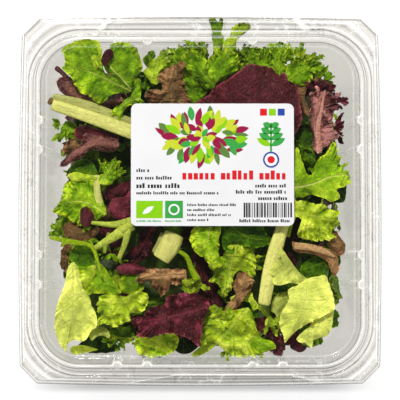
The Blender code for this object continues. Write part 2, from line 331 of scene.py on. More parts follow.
def paper_material(name, colour):
    """Coated paper: nearly even, with a faint grain and a soft sheen."""
    nodes = Nodes(name)
    grain = nodes.noise(nodes.place(), 900.0, 3.0)
    cloud = nodes.noise(nodes.place(), 60.0, 1.0)
    shade = nodes.mix(nodes.smooth(cloud, 0.3, 0.7), times(colour, 0.97), colour)
    bump = nodes.bump(grain, 0.08, 0.2 * MM)
    return nodes.finish(nodes.surface(shade, 0.55, 0.15, Normal=bump))


def print_material(name, colour):
    """Ink on coated paper: its tone is a little uneven."""
    nodes = Nodes(name)
    grain = nodes.noise(nodes.place(), 1500.0, 2.0)
    shade = nodes.mix(nodes.smooth(grain, 0.35, 0.75), tuple(colour), times(colour, 1.15))
    return nodes.finish(nodes.surface(shade, 0.60, 0.08))


# How a kind of leaf looks: its colours, how strong its veins and its fine texture are, its roughness, how
# much light it lets through, how far out its margin's colour starts and how much it shines.
# Its vein colour is also the painted highlight on its crests and along its margin.
LeafLook = namedtuple(
    "LeafLook", "blade margin rib shade vein veins quilt gloss glow edge shine", defaults=(0.92, 0.16)
)

# Side veins and their forks: where they fade out and where they're full, across them, as shares of the field
# between two of them
MAIN_VEIN = (0.07, 0.01)
FORK_VEIN = (0.10, 0.02)
NET_SCALE, NET_WIDTH = 430.0, 0.13  # of the net of small veins
EDGE_HIGHLIGHT = (0.93, 0.985)  # painted highlight along a leaf's margin: where it starts and where it's full, from midrib to margin
EDGE_HIGHLIGHT_STRENGTH = 0.55
MARGIN_WIDTH = 0.38  # over which the margin's colour comes in
CREST_HIGHLIGHT = 0.45  # painted highlight: how far the crests of a leaf take its veins' colour
RIB_STRENGTH = 0.7
DARKEST, BRIGHTEST = 0.12, 2.0  # of a leaf's tone


def leaf_material(name, look):
    """A leaf seen by its own coordinates: leaf_fan holds the place across its side veins, from midrib to
    margin, and the leaf's tone, which carries painted light on its crests and painted shade in its hollows;
    leaf_flat holds the place in the flat leaf, in metres, and across the midrib, as a share of its half
    width."""
    nodes = Nodes(name)
    veins, along, tone = nodes.parts(nodes.attribute("leaf_fan", "Vector"))
    flat_x, flat_y, across_rib = nodes.parts(nodes.attribute("leaf_flat", "Vector"))
    place = nodes.add("CombineXYZ", {0: flat_x, 1: flat_y}).outputs[0]

    # veins
    stray = nodes.math("SUBTRACT", nodes.noise(place, 90.0, 3.0), 0.5)
    strayed = nodes.math("MULTIPLY_ADD", stray, 0.8, veins)
    main = nodes.smooth(nodes.math("PINGPONG", strayed, 0.5), *MAIN_VEIN)
    main = nodes.times(main, nodes.smooth(along, 0.9, 0.5))
    forks = nodes.math("PINGPONG", nodes.math("ADD", nodes.times(strayed, 2.0), 0.5), 0.5)
    forks = nodes.times(nodes.smooth(forks, *FORK_VEIN), nodes.smooth(along, 0.30, 0.55))
    side_vein = nodes.math("MAXIMUM", main, nodes.times(forks, 0.5))
    warp = nodes.noise(place, 160.0, output="Color")
    reach = (5.0 * MM, 5.0 * MM, 0.0)
    warped = nodes.add("VectorMath", {0: warp, 1: reach, 2: place}, operation="MULTIPLY_ADD").outputs[0]
    cells = nodes.add("TexVoronoi", {"Vector": warped, "Scale": NET_SCALE}, feature="DISTANCE_TO_EDGE")
    net = nodes.smooth(cells.outputs[0], NET_WIDTH, 0.0)
    rib = nodes.smooth(across_rib, 1.25, 0.75)

    # colour
    mottle = nodes.noise(place, 75.0, 4.0, 0.65)
    # the fine crumple: it raises the bump and colours the leaf unevenly, with painted shade in its hollows
    # and painted light on its tops
    speckle = nodes.noise(place, 330.0, 4.0, 0.7)
    blade = nodes.mix(nodes.smooth(mottle, 0.36, 0.62), look.shade, look.blade)
    speckle_shade = times(look.blade, 1 - 0.35 * look.quilt)
    blade = nodes.mix(nodes.smooth(speckle, 0.62, 0.40), blade, speckle_shade)
    outward = nodes.math("MULTIPLY_ADD", nodes.noise(place, 140.0), 0.5, along)
    rim = nodes.smooth(outward, look.edge, look.edge + MARGIN_WIDTH)
    blade = nodes.mix(rim, blade, look.margin)
    # painted highlight along the margin
    edge_highlight = nodes.times(nodes.smooth(along, *EDGE_HIGHLIGHT), EDGE_HIGHLIGHT_STRENGTH)
    blade = nodes.mix(edge_highlight, blade, look.vein)
    paler = nodes.times(nodes.smooth(across_rib, 9.0, 1.0), 0.08)
    blade = nodes.mix(paler, blade, look.vein)
    # painted highlight: the crests take the veins' paler colour
    crest_highlight = nodes.times(nodes.smooth(tone, 0.6, 1.6), CREST_HIGHLIGHT)
    blade = nodes.mix(crest_highlight, blade, look.vein)
    veined = nodes.mix(nodes.times(side_vein, look.veins), blade, look.vein)
    veined = nodes.mix(nodes.times(net, look.veins), veined, look.vein)
    streaks = nodes.noise(nodes.stretched(place, (6.0, 0.4, 1.0)), 110.0, 3.0)
    pith = nodes.mix(0.35, look.rib, look.shade)
    rib_colour = nodes.mix(nodes.smooth(streaks, 0.36, 0.60), pith, look.rib)
    colour = nodes.mix(nodes.times(rib, RIB_STRENGTH), veined, rib_colour)
    # the tone, with its painted light and shade, sets the hue and brightness
    hue = nodes.math("MULTIPLY_ADD", tone, -0.012, 0.506)
    value = nodes.math("MULTIPLY_ADD", tone, 0.95, 0.80)
    value = nodes.math("MULTIPLY_ADD", nodes.math("SUBTRACT", speckle, 0.5), look.quilt, value)
    value = nodes.math("MINIMUM", nodes.math("MAXIMUM", value, DARKEST), BRIGHTEST)
    toned = nodes.add("HueSaturation", {"Hue": hue, "Value": value, "Color": colour}).outputs[0]

    # relief
    height = nodes.times(speckle, look.quilt * 1.3)
    height = nodes.math("MULTIPLY_ADD", side_vein, -0.16, height)
    height = nodes.math("MULTIPLY_ADD", net, -0.30 * look.quilt, height)
    height = nodes.math("MULTIPLY_ADD", rib, 0.8, height)
    height = nodes.math("MULTIPLY_ADD", nodes.times(streaks, rib), 0.35, height)
    bump = nodes.bump(height, 0.9, 1.8 * MM)
    skin = nodes.surface(toned, look.gloss, look.shine, Normal=bump)
    glow = nodes.add("BsdfTranslucent", {"Color": toned, "Normal": bump}).outputs[0]
    return nodes.finish(nodes.mix_shaders(look.glow, skin, glow))


def shade_core_material(name, colour):
    """Painted shade for the inside of the heap, where leaves are packed too deep to be told apart: a dark
    green that stands in for their shadow.
    """
    nodes = Nodes(name)
    patches = nodes.noise(nodes.place(), 55.0, 3.0, 0.6)
    shade = nodes.mix(nodes.smooth(patches, 0.35, 0.7), times(colour, 0.10), times(colour, 0.35))
    bump = nodes.bump(patches, 1.0, 4.0 * MM)
    return nodes.finish(nodes.surface(shade, 0.6, 0.5, Normal=bump))


# TRAY AND LID

RIB_EDGE_GLINT = 0.8  # painted glint: how white the edges of the ribs look
CORNER_POINTS = 18  # along one corner of a ring, and along one side of it
TRAY_SIDE_POINTS, LID_SIDE_POINTS = 150, 90
RIB_CENTRES = (-42.7 * MM, -27.3 * MM, 27.3 * MM, 42.7 * MM)
RIB_CREST_SHARE = 0.45
PANEL_SHARES = (0.75, 0.5, 0.25, 0.02)  # of the rows of points inside a flat panel

# Finger rests: ends at the rim's outer and inner edge, along +X
FRONT_REST = ((-32.0 * MM, 58.0 * MM), (-12.0 * MM, 46.0 * MM))
BACK_REST = ((-45.0 * MM, 48.0 * MM), (-50.0 * MM, 53.0 * MM))
REST_RAMP = 4.0 * MM
REST_SHADE = 0.30  # painted shade in the finger rests, and painted glints at their ends
REST_SHINE = 1.0

# One level of a shell: inset from the rim's outer edge, height, corner size, share of chamfer, share of the
# back grip that it leaves out, share of rib depth, share of the finger rests' depth, their place between
# the rim's outer and inner edge, how far its fold is rounded, and the light painted on its fold: 1 for a
# line of painted shade, where the bend would throw light aside, and -1 for a painted white glint.
Ring = namedtuple("Ring", "inset z corner cut back rib pressed rest fold line")
FOLD, LINE = (Ring._fields.index(name) for name in ("fold", "line"))
MOST_FOLD = 0.42  # share of a flat that the rounding of one fold may take up
GUARD = 0.06  # share of a flat between the rounding and the ring that guards it

RIGHT, BACK, LEFT, FRONT = (np.array(v, dtype=float) for v in ((1, 0), (0, 1), (-1, 0), (0, -1)))
SIDES = ((RIGHT, BACK), (BACK, LEFT), (LEFT, FRONT), (FRONT, RIGHT))


def rim_ring(shell, inset, z, pressed=0.0, rest=0.0, fold=0.35 * MM, line=0.0):
    leg = shell.rim_chamfer - (2 - math.sqrt(2)) * inset
    return Ring(inset, z, leg, 1.0, 0.0, 0.0, pressed, rest, fold, line)


def wall_ring(shell, inset, z, rib=0.0, corner=None, pressed=0.0, fold=0.35 * MM, line=0.0):
    radius = corner or shell.mouth_corner - (inset - shell.mouth_inset)
    return Ring(inset, z, radius, 0.0, 1.0, rib, pressed, 1.0, fold, line)


def between(first, second, share, line):
    """A ring part of the way from the first to the second."""
    ring = Ring(*(a + (b - a) * share for a, b in zip(first, second)))
    return ring._replace(fold=0.3 * MM, line=line)


def fold_over(rings, steps=4):
    """The same rings with each fold between them rounded by a short curve. A further ring just past each
    end of a curve keeps the flats beside it evenly lit."""
    rows = [np.array(ring) for ring in rings]
    for row in rows[1:-1]:
        row[LINE] = 0.0
    folded = [rows[0]]
    for ring, before, here, after in zip(rings[1:], rows, rows[1:], rows[2:]):
        sides, guards = [], []
        for other in (before, after):
            reach = math.hypot(other[0] - here[0], other[1] - here[1])
            share = min(MOST_FOLD, here[FOLD] / reach)
            sides.append(here + (other - here) * share)
            guards.append(here + (other - here) * (share + GUARD))
        folded.append(guards[0])
        for k in range(steps + 1):
            t = k / steps
            row = sides[0] * (1 - t) ** 2 + here * 2 * t * (1 - t) + sides[1] * t * t
            row[LINE] = ring.line * math.sin(math.pi * t)
            folded.append(row)
        folded.append(guards[1])
    folded.append(rows[-1])
    return [Ring(*row) for row in folded]


def trapezoid(distance, half_foot, half_crest):
    """1 within half_crest, 0 outside half_foot, smooth between."""
    share = np.clip((half_foot - distance) / (half_foot - half_crest), 0.0, 1.0)
    return share * share * (3 - 2 * share)


def rib_profile(shell, s):
    height = np.zeros_like(s)
    for centre in RIB_CENTRES:
        half = shell.rib_width / 2
        height = np.maximum(height, trapezoid(np.abs(s - centre), half, half * RIB_CREST_SHARE))
    return height


def rest_profile(ring, x, front):
    outer, inner = FRONT_REST if front else BACK_REST
    low, high = (outer[i] + (inner[i] - outer[i]) * ring.rest for i in (0, 1))
    half = (high - low) / 2
    return trapezoid(np.abs(x - (low + high) / 2), half + REST_RAMP, half) * ring.pressed


def ring_points(shell, ring, size, side_points):
    """The ring's closed outline, anticlockwise seen from above: x, y, z, and its painted shade or painted
    glint.
    """
    bulge = shell.side_bow * ring.cut
    half_x = size.x / 2 - ring.inset - bulge
    front = -size.y / 2 + ring.inset + bulge
    back = size.y / 2 - ring.inset - shell.back_grip * ring.back - bulge
    middle_y = -shell.back_grip / 2
    parts = []
    for normal, along in SIDES:
        across = abs(normal[0]) > 0.5
        reach = half_x if across else (back if normal[1] > 0 else -front)
        low, high = (front, back) if across else (-half_x, half_x)
        if along.sum() < 0:
            low, high = -high, -low
        s = np.linspace(low + ring.corner, high - ring.corner, side_points)
        share = np.linspace(-1.0, 1.0, side_points)
        rib = rib_profile(shell, s - middle_y * along[1])
        out = reach + bulge * (1 - share * share) - rib * ring.rib * shell.rib_depth
        line = ring.line - RIB_EDGE_GLINT * ring.rib * 4 * rib * (1 - rib)
        z = np.full(side_points, ring.z)
        if not across and ring.pressed:
            rest = rest_profile(ring, s * along[0], normal[1] < 0)
            z -= rest * shell.rest_depth
            # painted shade in the rest, and painted glints at its ends
            line = line + REST_SHADE * rest - REST_SHINE * 4 * rest * (1 - rest)
        plan = out[:, None] * normal + s[:, None] * along
        parts.append(np.column_stack((plan, z, line)))
        turn = np.linspace(0, 1, CORNER_POINTS + 2)[1:-1, None]
        on_arc = np.cos(turn * math.pi / 2) * normal + np.sin(turn * math.pi / 2) * along
        on_cut = (1 - turn) * normal + turn * along
        centre = normal * (reach - ring.corner) + along * (high - ring.corner)
        plan = centre + ring.corner * (on_arc * (1 - ring.cut) + on_cut * ring.cut)
        ends = np.tile((ring.z, ring.line), (CORNER_POINTS, 1))
        parts.append(np.column_stack((plan, ends)))
    return np.concatenate(parts)


def shell_mesh(name, shell, rings, size, panel_end, side_points):
    """A lofted sheet through the rings, with rows of points that close its flat panel towards the middle.
    Its fold attribute says where the sheet is painted with shade or with a white glint."""
    rows = [ring_points(shell, ring, size, side_points) for ring in fold_over(rings)]
    edge = rows[panel_end]
    middle = np.array((0.0, -shell.back_grip / 2, edge[0][2], 0.0))
    inner = [middle + (edge - middle) * (share, share, 1.0, 0.0) for share in PANEL_SHARES]
    rows = rows + inner if panel_end else inner[::-1] + rows
    points = np.concatenate(rows)
    mesh = mesh_of(name, points[:, :3], grid_faces(len(rows), len(edge), closed=True))
    layer = mesh.attributes.new("fold_line", "FLOAT", "POINT")
    layer.data.foreach_set("value", points[:, 3].astype(np.float32))
    return mesh


def tray_rings(shell, box):
    """The tray's levels, from its middle floor outwards over the foot and up the wall to the rim's lip."""
    rim_z = box[1].z - 0.25 * MM
    mouth = shell.mouth_inset
    foot = mouth + 12.0 * MM
    lip = 1.15 * MM
    return [
        wall_ring(shell, foot + 12.5 * MM, 2.2 * MM, corner=12.0 * MM, fold=0.5 * MM),
        wall_ring(shell, foot + 10.0 * MM, 2.2 * MM, corner=12.0 * MM, fold=1.0 * MM, line=0.6),
        wall_ring(shell, foot + 8.0 * MM, 0.1 * MM, corner=13.0 * MM, fold=1.0 * MM, line=-0.5),
        wall_ring(shell, foot, 0.1 * MM, corner=15.0 * MM, fold=1.2 * MM, line=0.4),
        wall_ring(shell, mouth + 8.8 * MM, 2.4 * MM, corner=17.0 * MM, fold=2.0 * MM, line=-0.4),
        wall_ring(shell, mouth + 7.6 * MM, 7.5 * MM, rib=1.0, corner=17.5 * MM, fold=2.5 * MM),
        wall_ring(shell, mouth + 0.5 * MM, rim_z - 1.6 * MM, rib=1.0, fold=0.7 * MM, line=1.0),
        wall_ring(shell, mouth - 0.5 * MM, rim_z, rib=1.0, fold=0.5 * MM, line=-0.5),
        wall_ring(shell, mouth - 2.2 * MM, rim_z, fold=0.4 * MM, line=0.3),
        rim_ring(shell, lip + 1.4 * MM, rim_z, fold=0.6 * MM, line=-0.5),
        rim_ring(shell, lip + 0.4 * MM, rim_z - 0.9 * MM, fold=0.4 * MM, line=0.3),
        rim_ring(shell, lip + 0.1 * MM, rim_z - 4.3 * MM, fold=0.3 * MM),
        rim_ring(shell, lip - 0.5 * MM, rim_z - 4.6 * MM, fold=0.2 * MM),
    ]


def lid_rings(shell, tray_box, box):
    """The lid's levels, from its trimmed skirt over the rim, the groove and the dome to its panel."""
    rim_z = tray_box[1].z
    seat_z = rim_z + 0.65 * MM
    top_z = rim_z + 2.05 * MM
    dome_z = box[1].z - 0.2 * MM
    outer = rim_ring(shell, 2.3 * MM, top_z, pressed=1.0, fold=0.5 * MM, line=0.45)
    inner = wall_ring(shell, 5.6 * MM, top_z, pressed=1.0, fold=0.5 * MM, line=0.9)
    return [
        rim_ring(shell, 0.0, rim_z - 5.9 * MM, fold=0.15 * MM, line=1.0),
        rim_ring(shell, 0.75 * MM, rim_z - 5.6 * MM, fold=0.3 * MM, line=0.8),
        rim_ring(shell, 0.95 * MM, rim_z - 0.8 * MM, fold=0.5 * MM),
        rim_ring(shell, 1.3 * MM, top_z - 0.8 * MM, pressed=1.0, fold=1.2 * MM, line=-1.8),
        outer,
        between(outer, inner, 0.3, -0.6),
        between(outer, inner, 0.5, 0.3),
        between(outer, inner, 0.75, -0.4),
        inner,
        wall_ring(shell, 6.3 * MM, seat_z, fold=0.35 * MM, line=-0.6),
        wall_ring(shell, 7.9 * MM, seat_z, fold=0.35 * MM, line=0.8),
        wall_ring(shell, 8.6 * MM, top_z, fold=0.35 * MM, line=-0.3),
        wall_ring(shell, 9.3 * MM, top_z, fold=0.35 * MM, line=1.0),
        wall_ring(shell, 10.2 * MM, dome_z - 2.0 * MM, fold=0.8 * MM, line=0.4),
        wall_ring(shell, 11.4 * MM, dome_z, fold=0.9 * MM, line=-0.2),
        wall_ring(shell, 15.2 * MM, dome_z, fold=0.5 * MM, line=0.2),
        wall_ring(shell, 16.2 * MM, dome_z - 1.0 * MM, fold=0.5 * MM, line=-0.15),
        wall_ring(shell, 17.2 * MM, dome_z - 1.0 * MM, fold=0.1 * MM),
    ]


class SALADTRAY_OT_clear_tray(bpy.types.Operator):
    """Make the clear tray with its ribs, foot and rim"""

    bl_idname = "salad_tray.clear_tray"
    bl_label = "Clear tray"

    def execute(self, context):
        shell = settings(context, "shell")
        rings = tray_rings(shell, TRAY_BOX)
        mesh = shell_mesh("clear_tray", shell, rings, LID_BOX[1] - LID_BOX[0], 0, TRAY_SIDE_POINTS)
        material = clear_plastic(
            "clear_tray_plastic", shell, roughness=0.16, stretch=(1.0, 1.0, 0.15), waviness=0.22, haze=0.06,
            wisps=0.24,
        )
        piece = new_piece("clear_tray", mesh, material)
        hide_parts("tray")
        return {"FINISHED"}


class SALADTRAY_OT_clear_lid(bpy.types.Operator):
    """Make the clear lid with its skirt, groove, dome and panel"""

    bl_idname = "salad_tray.clear_lid"
    bl_label = "Clear lid"

    def execute(self, context):
        shell = settings(context, "shell")
        rings = lid_rings(shell, TRAY_BOX, LID_BOX)
        mesh = shell_mesh("clear_lid", shell, rings, LID_BOX[1] - LID_BOX[0], -1, LID_SIDE_POINTS)
        material = clear_plastic(
            "clear_lid_plastic", shell, roughness=0.10, stretch=(1.0, 1.0, 1.0), waviness=0.02, haze=0.002,
            wisps=0.28,
        )
        piece = new_piece("clear_lid", mesh, material)
        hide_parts("lid")
        return {"FINISHED"}


# LABEL

PRINT_STEP = 0.03 * MM  # between one layer of print and the next
PRINT_SIZE = (84.0 * MM, 63.5 * MM)  # of the label that the print is laid out on


def flat_shape(outline, layer):
    """Corners of a flat shape on the label: outline is in metres from the label's lower left corner."""
    low, high = LABEL_BOX
    scale = [(high[i] - low[i]) / PRINT_SIZE[i] for i in (0, 1)]
    z = high.z + PRINT_STEP * layer
    return [Vector((low.x + x * scale[0], low.y + y * scale[1], z)) for x, y in outline]


def block(x, y, width, height):
    """A rectangle, by its lower left corner, in millimetres on the label."""
    corners = ((x, y), (x + width, y), (x + width, y + height), (x, y + height))
    return [(a * MM, b * MM) for a, b in corners]


def disc(x, y, radius, points=28):
    turns = (2 * math.pi * k / points for k in range(points))
    return [((x + radius * math.cos(t)) * MM, (y + radius * math.sin(t)) * MM) for t in turns]


def printed_leaf(x, y, length, width, turn, points=9):
    """A pointed leaf that starts at x, y and points along turn, in degrees."""
    angle = math.radians(turn)
    c, s = math.cos(angle), math.sin(angle)
    sides = []
    for hand in (1, -1):
        for k in range(points):
            share = k / points if hand > 0 else 1 - k / points
            out = hand * width / 2 * math.sin(math.pi * share) ** 0.8
            sides.append((share * length, out))
    return [((x + a * c - b * s) * MM, (y + a * s + b * c) * MM) for a, b in sides]


LETTER_WIDTH = 0.62  # of its height
LOW_LETTER = 0.72
TALL_SHARE = 0.3  # share of letters that are tall


def text_line(rng, x, y, width, height, word=(3, 8)):
    """A line of plain blocks that stand for words, from left to right."""
    shapes = []
    here = x
    letter = height * LETTER_WIDTH
    while here < x + width - letter:
        for _ in range(rng.randint(*word)):
            if here > x + width - letter:
                break
            tall = 1.0 if rng.random() < TALL_SHARE else LOW_LETTER
            shapes.append(block(here, y, letter * rng.uniform(0.6, 0.8), height * tall))
            here += letter
        here += letter * 0.8
    return shapes


# The drawn salad: its middle, how oval it is, and its rings from the outer one in, as the number of leaves,
# the ring's radius, and the leaves' length and width, all in millimetres
SALAD_CENTRE = (36.5, 46.0)
SALAD_SHAPE = (1.25, 0.62)
SALAD_RINGS = (
    (30, 14.5, 8.0, 5.0), (24, 10.5, 8.0, 5.0), (16, 6.5, 7.0, 5.0), (9, 2.5, 6.0, 4.5), (6, 0.3, 5.0, 4.0),
)


def printed_salad(rng):
    """A round heap of pointed leaves in several greens and reds, as (colour name, outline, layer)."""
    shapes = []
    layer = 1
    for count, radius, length, width in SALAD_RINGS:
        for k in range(count):
            turn = 360 * (k + rng.uniform(-0.25, 0.25)) / count
            out = radius * rng.uniform(0.75, 1.0)
            x = SALAD_CENTRE[0] + out * SALAD_SHAPE[0] * math.cos(math.radians(turn))
            y = SALAD_CENTRE[1] + out * SALAD_SHAPE[1] * math.sin(math.radians(turn))
            colour = rng.choice(("lime", "lime", "bright", "green", "leaf", "title_dark"))
            long, wide = length * rng.uniform(0.8, 1.2), width * rng.uniform(0.5, 0.8)
            shapes.append((colour, printed_leaf(x, y, long, wide, turn + rng.uniform(-50, 50)), layer))
            layer += 0.05
    return shapes


# Lines of print: colour, left end, lower edge, width, height, and how many letters its words have
TITLE_LINES = (("title", 26.5, 24.0, 54.5, 4.7, (6, 7)),)
SMALL_PRINT = (
    ("ink", 2.8, 27.9, 8.0, 1.9), ("ink", 2.8, 24.0, 18.5, 1.9), ("ink", 2.8, 19.6, 24.0, 2.5),
    ("ink", 2.8, 16.3, 43.0, 1.6),
    ("ink", 64.0, 19.9, 17.0, 1.9), ("ink", 54.0, 16.7, 27.0, 1.9), ("ink", 65.5, 13.4, 15.5, 1.9),
    ("ink", 29.0, 10.3, 25.5, 1.3), ("ink", 29.0, 7.7, 14.5, 1.3), ("ink", 29.0, 5.1, 23.0, 1.3),
    ("ink", 29.0, 2.5, 11.0, 1.3),
)
PANEL_PRINT = (("green", 2.8, 2.1, 13.6, 1.0), ("green", 17.6, 2.1, 9.2, 1.0))
STRIPE_PRINT = (("ink", 55.8, 1.9, 26.4, 1.6, (6, 7)),)
STRIPES = (58.0, 82.2)  # left and right end


def label_print(rng):
    """All shapes on the label, as (colour name, outline, layer)."""
    shapes = printed_salad(rng)

    def add(colour, outline, layer=1):
        shapes.append((colour, outline, layer))

    def add_lines(lines):
        for colour, x, y, width, height, *word in lines:
            for shape in text_line(rng, x, y, width, height, *word):
                add(colour, shape)

    # squares and a sprig at the upper right
    for k, colour in enumerate(("title", "bright", "blue")):
        add(colour, block(66.5 + k * 4.6, 57.2, 3.6, 3.6))
    add("green", block(71.7, 38.5, 1.0, 15.0))
    for k in range(4):
        y = 41.5 + k * 3.2
        add("green", printed_leaf(72.2, y, 8.2 - k * 1.2, 3.4, 28))
        add("bright" if k == 0 else "green", printed_leaf(72.2, y, 8.2 - k * 1.2, 3.4, 152))
    # round mark under it
    for layer, (colour, radius) in enumerate((("blue", 4.2), ("paper", 3.3), ("title", 1.9)), 1):
        add(colour, disc(72.2, 34.3, radius), layer)
    add_lines(TITLE_LINES)
    add_lines(SMALL_PRINT)
    # the two green panels
    add("bright", block(2.8, 4.0, 13.6, 9.0))
    add("paper", printed_leaf(6.0, 6.2, 7.0, 2.6, 35), 2)
    add("green", block(17.6, 4.0, 9.2, 9.0))
    add("paper", disc(22.2, 8.5, 2.9), 2)
    add("green", disc(22.2, 8.5, 2.0), 3)
    add_lines(PANEL_PRINT)
    # stripes
    here, end = STRIPES
    while here < end:
        stripe = rng.choice((0.3, 0.3, 0.6, 0.9))
        add("ink", block(here, 4.4, stripe, 7.6))
        here += stripe + rng.choice((0.3, 0.3, 0.6))
    add_lines(STRIPE_PRINT)
    return shapes


def shapes_mesh(name, shapes):
    """Flat shapes in one mesh, all facing up."""
    mesh = bpy.data.meshes.new(name)
    points, faces = [], []
    for outline, layer in shapes:
        corners = flat_shape(outline, layer)
        area = sum(a.x * b.y - b.x * a.y for a, b in zip(corners, corners[1:] + corners[:1]))
        order = range(len(corners)) if area > 0 else reversed(range(len(corners)))
        faces.append([len(points) + k for k in order])
        points.extend(corners)
    mesh.from_pydata(points, [], faces)
    return mesh


class SALADTRAY_OT_label(bpy.types.Operator):
    """Give the label its paper, and print plain shapes on it"""

    bl_idname = "salad_tray.label"
    bl_label = "Label"

    def execute(self, context):
        look = settings(context, "label")
        paper = paper_material("label_coated_paper", tuple(look.paper))
        for material_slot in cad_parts["label"].material_slots:
            material_slot.material = paper
        colours = dict(lime=linear(196, 208, 50), leaf=linear(92, 130, 60), title_dark=linear(150, 24, 66))
        for name in SaladTrayLabel.__annotations__:
            colours[name] = tuple(getattr(look, name))
        shapes = {}
        for colour, outline, layer in label_print(random.Random(11)):
            shapes.setdefault(colour, []).append((outline, layer))
        for colour, outlines in shapes.items():
            mesh = shapes_mesh("print_" + colour, outlines)
            ink = print_material("print_ink_" + colour, colours[colour])
            new_piece("print_" + colour, mesh, ink, smooth=False)
        return {"FINISHED"}


# LEAVES: THE ROOM THEY HAVE


FOOT_TOP = 7.5 * MM  # where the tray's wall begins
WALL_RUN = 7.6 * MM  # how far in it is there
DOME_INSET = 10.0 * MM
DOME_RISE = 10.0 * MM  # of the dome's straight part
LEAF_GAP = 0.6 * MM  # between the wall and the leaves
CEILING_GAP = 2.2 * MM
FLOOR_GAP = 3.2 * MM


def wall_gap(shell, x, y, z):
    """How far points lie inside the wall round the heap, and the direction from them to it in plan. The
    wall is the tray's up to its rim, and the lid's dome above."""
    rim_z = TRAY_BOX[1].z
    size = LID_BOX[1] - LID_BOX[0]
    share = np.clip((z - FOOT_TOP) / (rim_z - FOOT_TOP), -0.2, 1.0)
    in_tray = shell.mouth_inset + WALL_RUN * (1 - share) + shell.rib_depth * 0.6
    in_dome = DOME_INSET + np.clip(z - rim_z - DOME_RISE, 0.0, None) * 0.5
    inset = np.where(z > rim_z + 1.0 * MM, in_dome, in_tray)
    half_x = size.x / 2 - inset
    half_y = (size.y - shell.back_grip) / 2 - inset
    radius = np.maximum(shell.mouth_corner + shell.mouth_inset - inset, 15.0 * MM)
    qx = np.abs(x) - (half_x - radius)
    qy = np.abs(y + shell.back_grip / 2) - (half_y - radius)
    ox, oy = np.maximum(qx, 0.0), np.maximum(qy, 0.0)
    outside = np.hypot(ox, oy)
    gap = radius - outside - np.minimum(np.maximum(qx, qy), 0.0)
    along_x = np.where(outside > 1e-9, ox / np.maximum(outside, 1e-9), qx > qy)
    along_y = np.where(outside > 1e-9, oy / np.maximum(outside, 1e-9), qx <= qy)
    return gap, along_x * np.sign(x), along_y * np.sign(y + shell.back_grip / 2)


def ease_under(value, limit, give):
    """value, eased so that it never passes limit: it's slowed over the last stretch of length give."""
    over = np.maximum(value - (limit - give), 0.0)
    return np.where(over > 0, limit - give + give * (1 - np.exp(-over / give)), value)


def keep_inside(shell, points, over_rim=False):
    """Presses points into the room between the tray and the lid, like leaves that lie against them."""
    x, y, z = points.T
    z = ease_under(z, LID_BOX[1].z - CEILING_GAP, 2.5 * MM)
    z = -ease_under(-z, -FLOOR_GAP, 2.5 * MM)
    if over_rim:
        # towards the dome's foot a leaf sinks to the tray's rim, and past it the lid pins it there
        rim_z = TRAY_BOX[1].z
        gap, _, _ = wall_gap(shell, x, y, np.full_like(z, rim_z + 2.0 * MM))
        z = np.minimum(z, rim_z + 0.45 * MM + np.clip(gap, 0.0, None) * 0.9)
        z = np.where(gap < LEAF_GAP, np.maximum(z, rim_z + 0.12 * MM), z)
        return np.column_stack((x, y, z))
    gap, to_x, to_y = wall_gap(shell, x, y, z)
    back = ease_under(-gap, -LEAF_GAP, 3.0 * MM) + gap
    x, y = x + back * to_x, y + back * to_y
    return np.column_stack((x, y, z))


# LEAVES: ONE FLAT LEAF AND ITS CURVES

# How a kind of leaf is cut: half height of its blade, how far round the blade goes (radians), rib width at
# the base as a share of the leaf's width, number and depth of lobes on each side, how ragged its margin is
# (millimetres), length of a frill's waves in millimetres, its depth as a share of that, how far in it reaches
# (a larger number stays nearer the margin), how much its waves lean over, side veins, and how deeply the
# blade is crumpled (millimetres).
Cut = namedtuple("Cut", "half_height spread rib lobes lobe_depth ragged wave frill reach curl veins crumple")

CUTS = {
    "smooth": Cut(0.46, 2.55, 0.010, 2, 0.08, 0.6, 8.0, 0.18, 4.0, 0.4, 5, 0.7),
    "ribbed": Cut(0.45, 2.60, 0.020, 3, 0.14, 1.5, 6.0, 0.32, 4.0, 0.9, 5, 1.5),
    "batavia": Cut(0.45, 2.60, 0.009, 3, 0.14, 1.7, 5.6, 0.36, 4.0, 1.0, 5, 1.7),
    "curly": Cut(0.46, 2.70, 0.010, 3, 0.16, 2.4, 4.4, 0.50, 2.8, 1.2, 5, 2.1),
    "frisee": Cut(0.47, 2.45, 0.03, 5, 0.62, 1.8, 3.8, 0.55, 2.0, 1.1, 5, 1.6),
    "oak": Cut(0.46, 2.40, 0.016, 3, 0.52, 1.5, 6.0, 0.30, 3.5, 0.9, 5, 2.0),
    "fringe": Cut(0.46, 2.50, 0.02, 8, 0.45, 2.8, 4.0, 0.55, 2.4, 1.2, 6, 2.2),
    "plain": Cut(0.47, 2.50, 0.006, 1, 0.03, 0.8, 9.0, 0.12, 4.0, 0.3, 6, 0.8),
}

COLUMN_STEP = 0.62  # millimetres along the margin of a leaf in full detail
LEAF_ROWS = 24
DRAWN_SCALE = 0.98  # of leaves that are drawn at the height of the rim and lie nearer the lid
RELIEF_SHADE = 0.42  # painted light and shade: how much brighter a leaf is on its crests, and darker in its hollows
RIB_TIP = 0.80  # where the midrib forks out, as a share of the leaf's length
DRAWN_LOBES = 0.25  # share of a cut's lobes that a leaf with a drawn margin keeps
WOBBLE = 0.06  # height of a leaf's broad waves, as a share of its width
TUFT_DETAIL, BIT_DETAIL, FILL_DETAIL = 0.7, 0.6, 0.5  # how finely leaves that show less are made
END_TAPER = 0.86  # how thick a stem is at its ends
CAP_SHARE = 0.05  # how far a stem's flat ends stay open, as a share of its radius


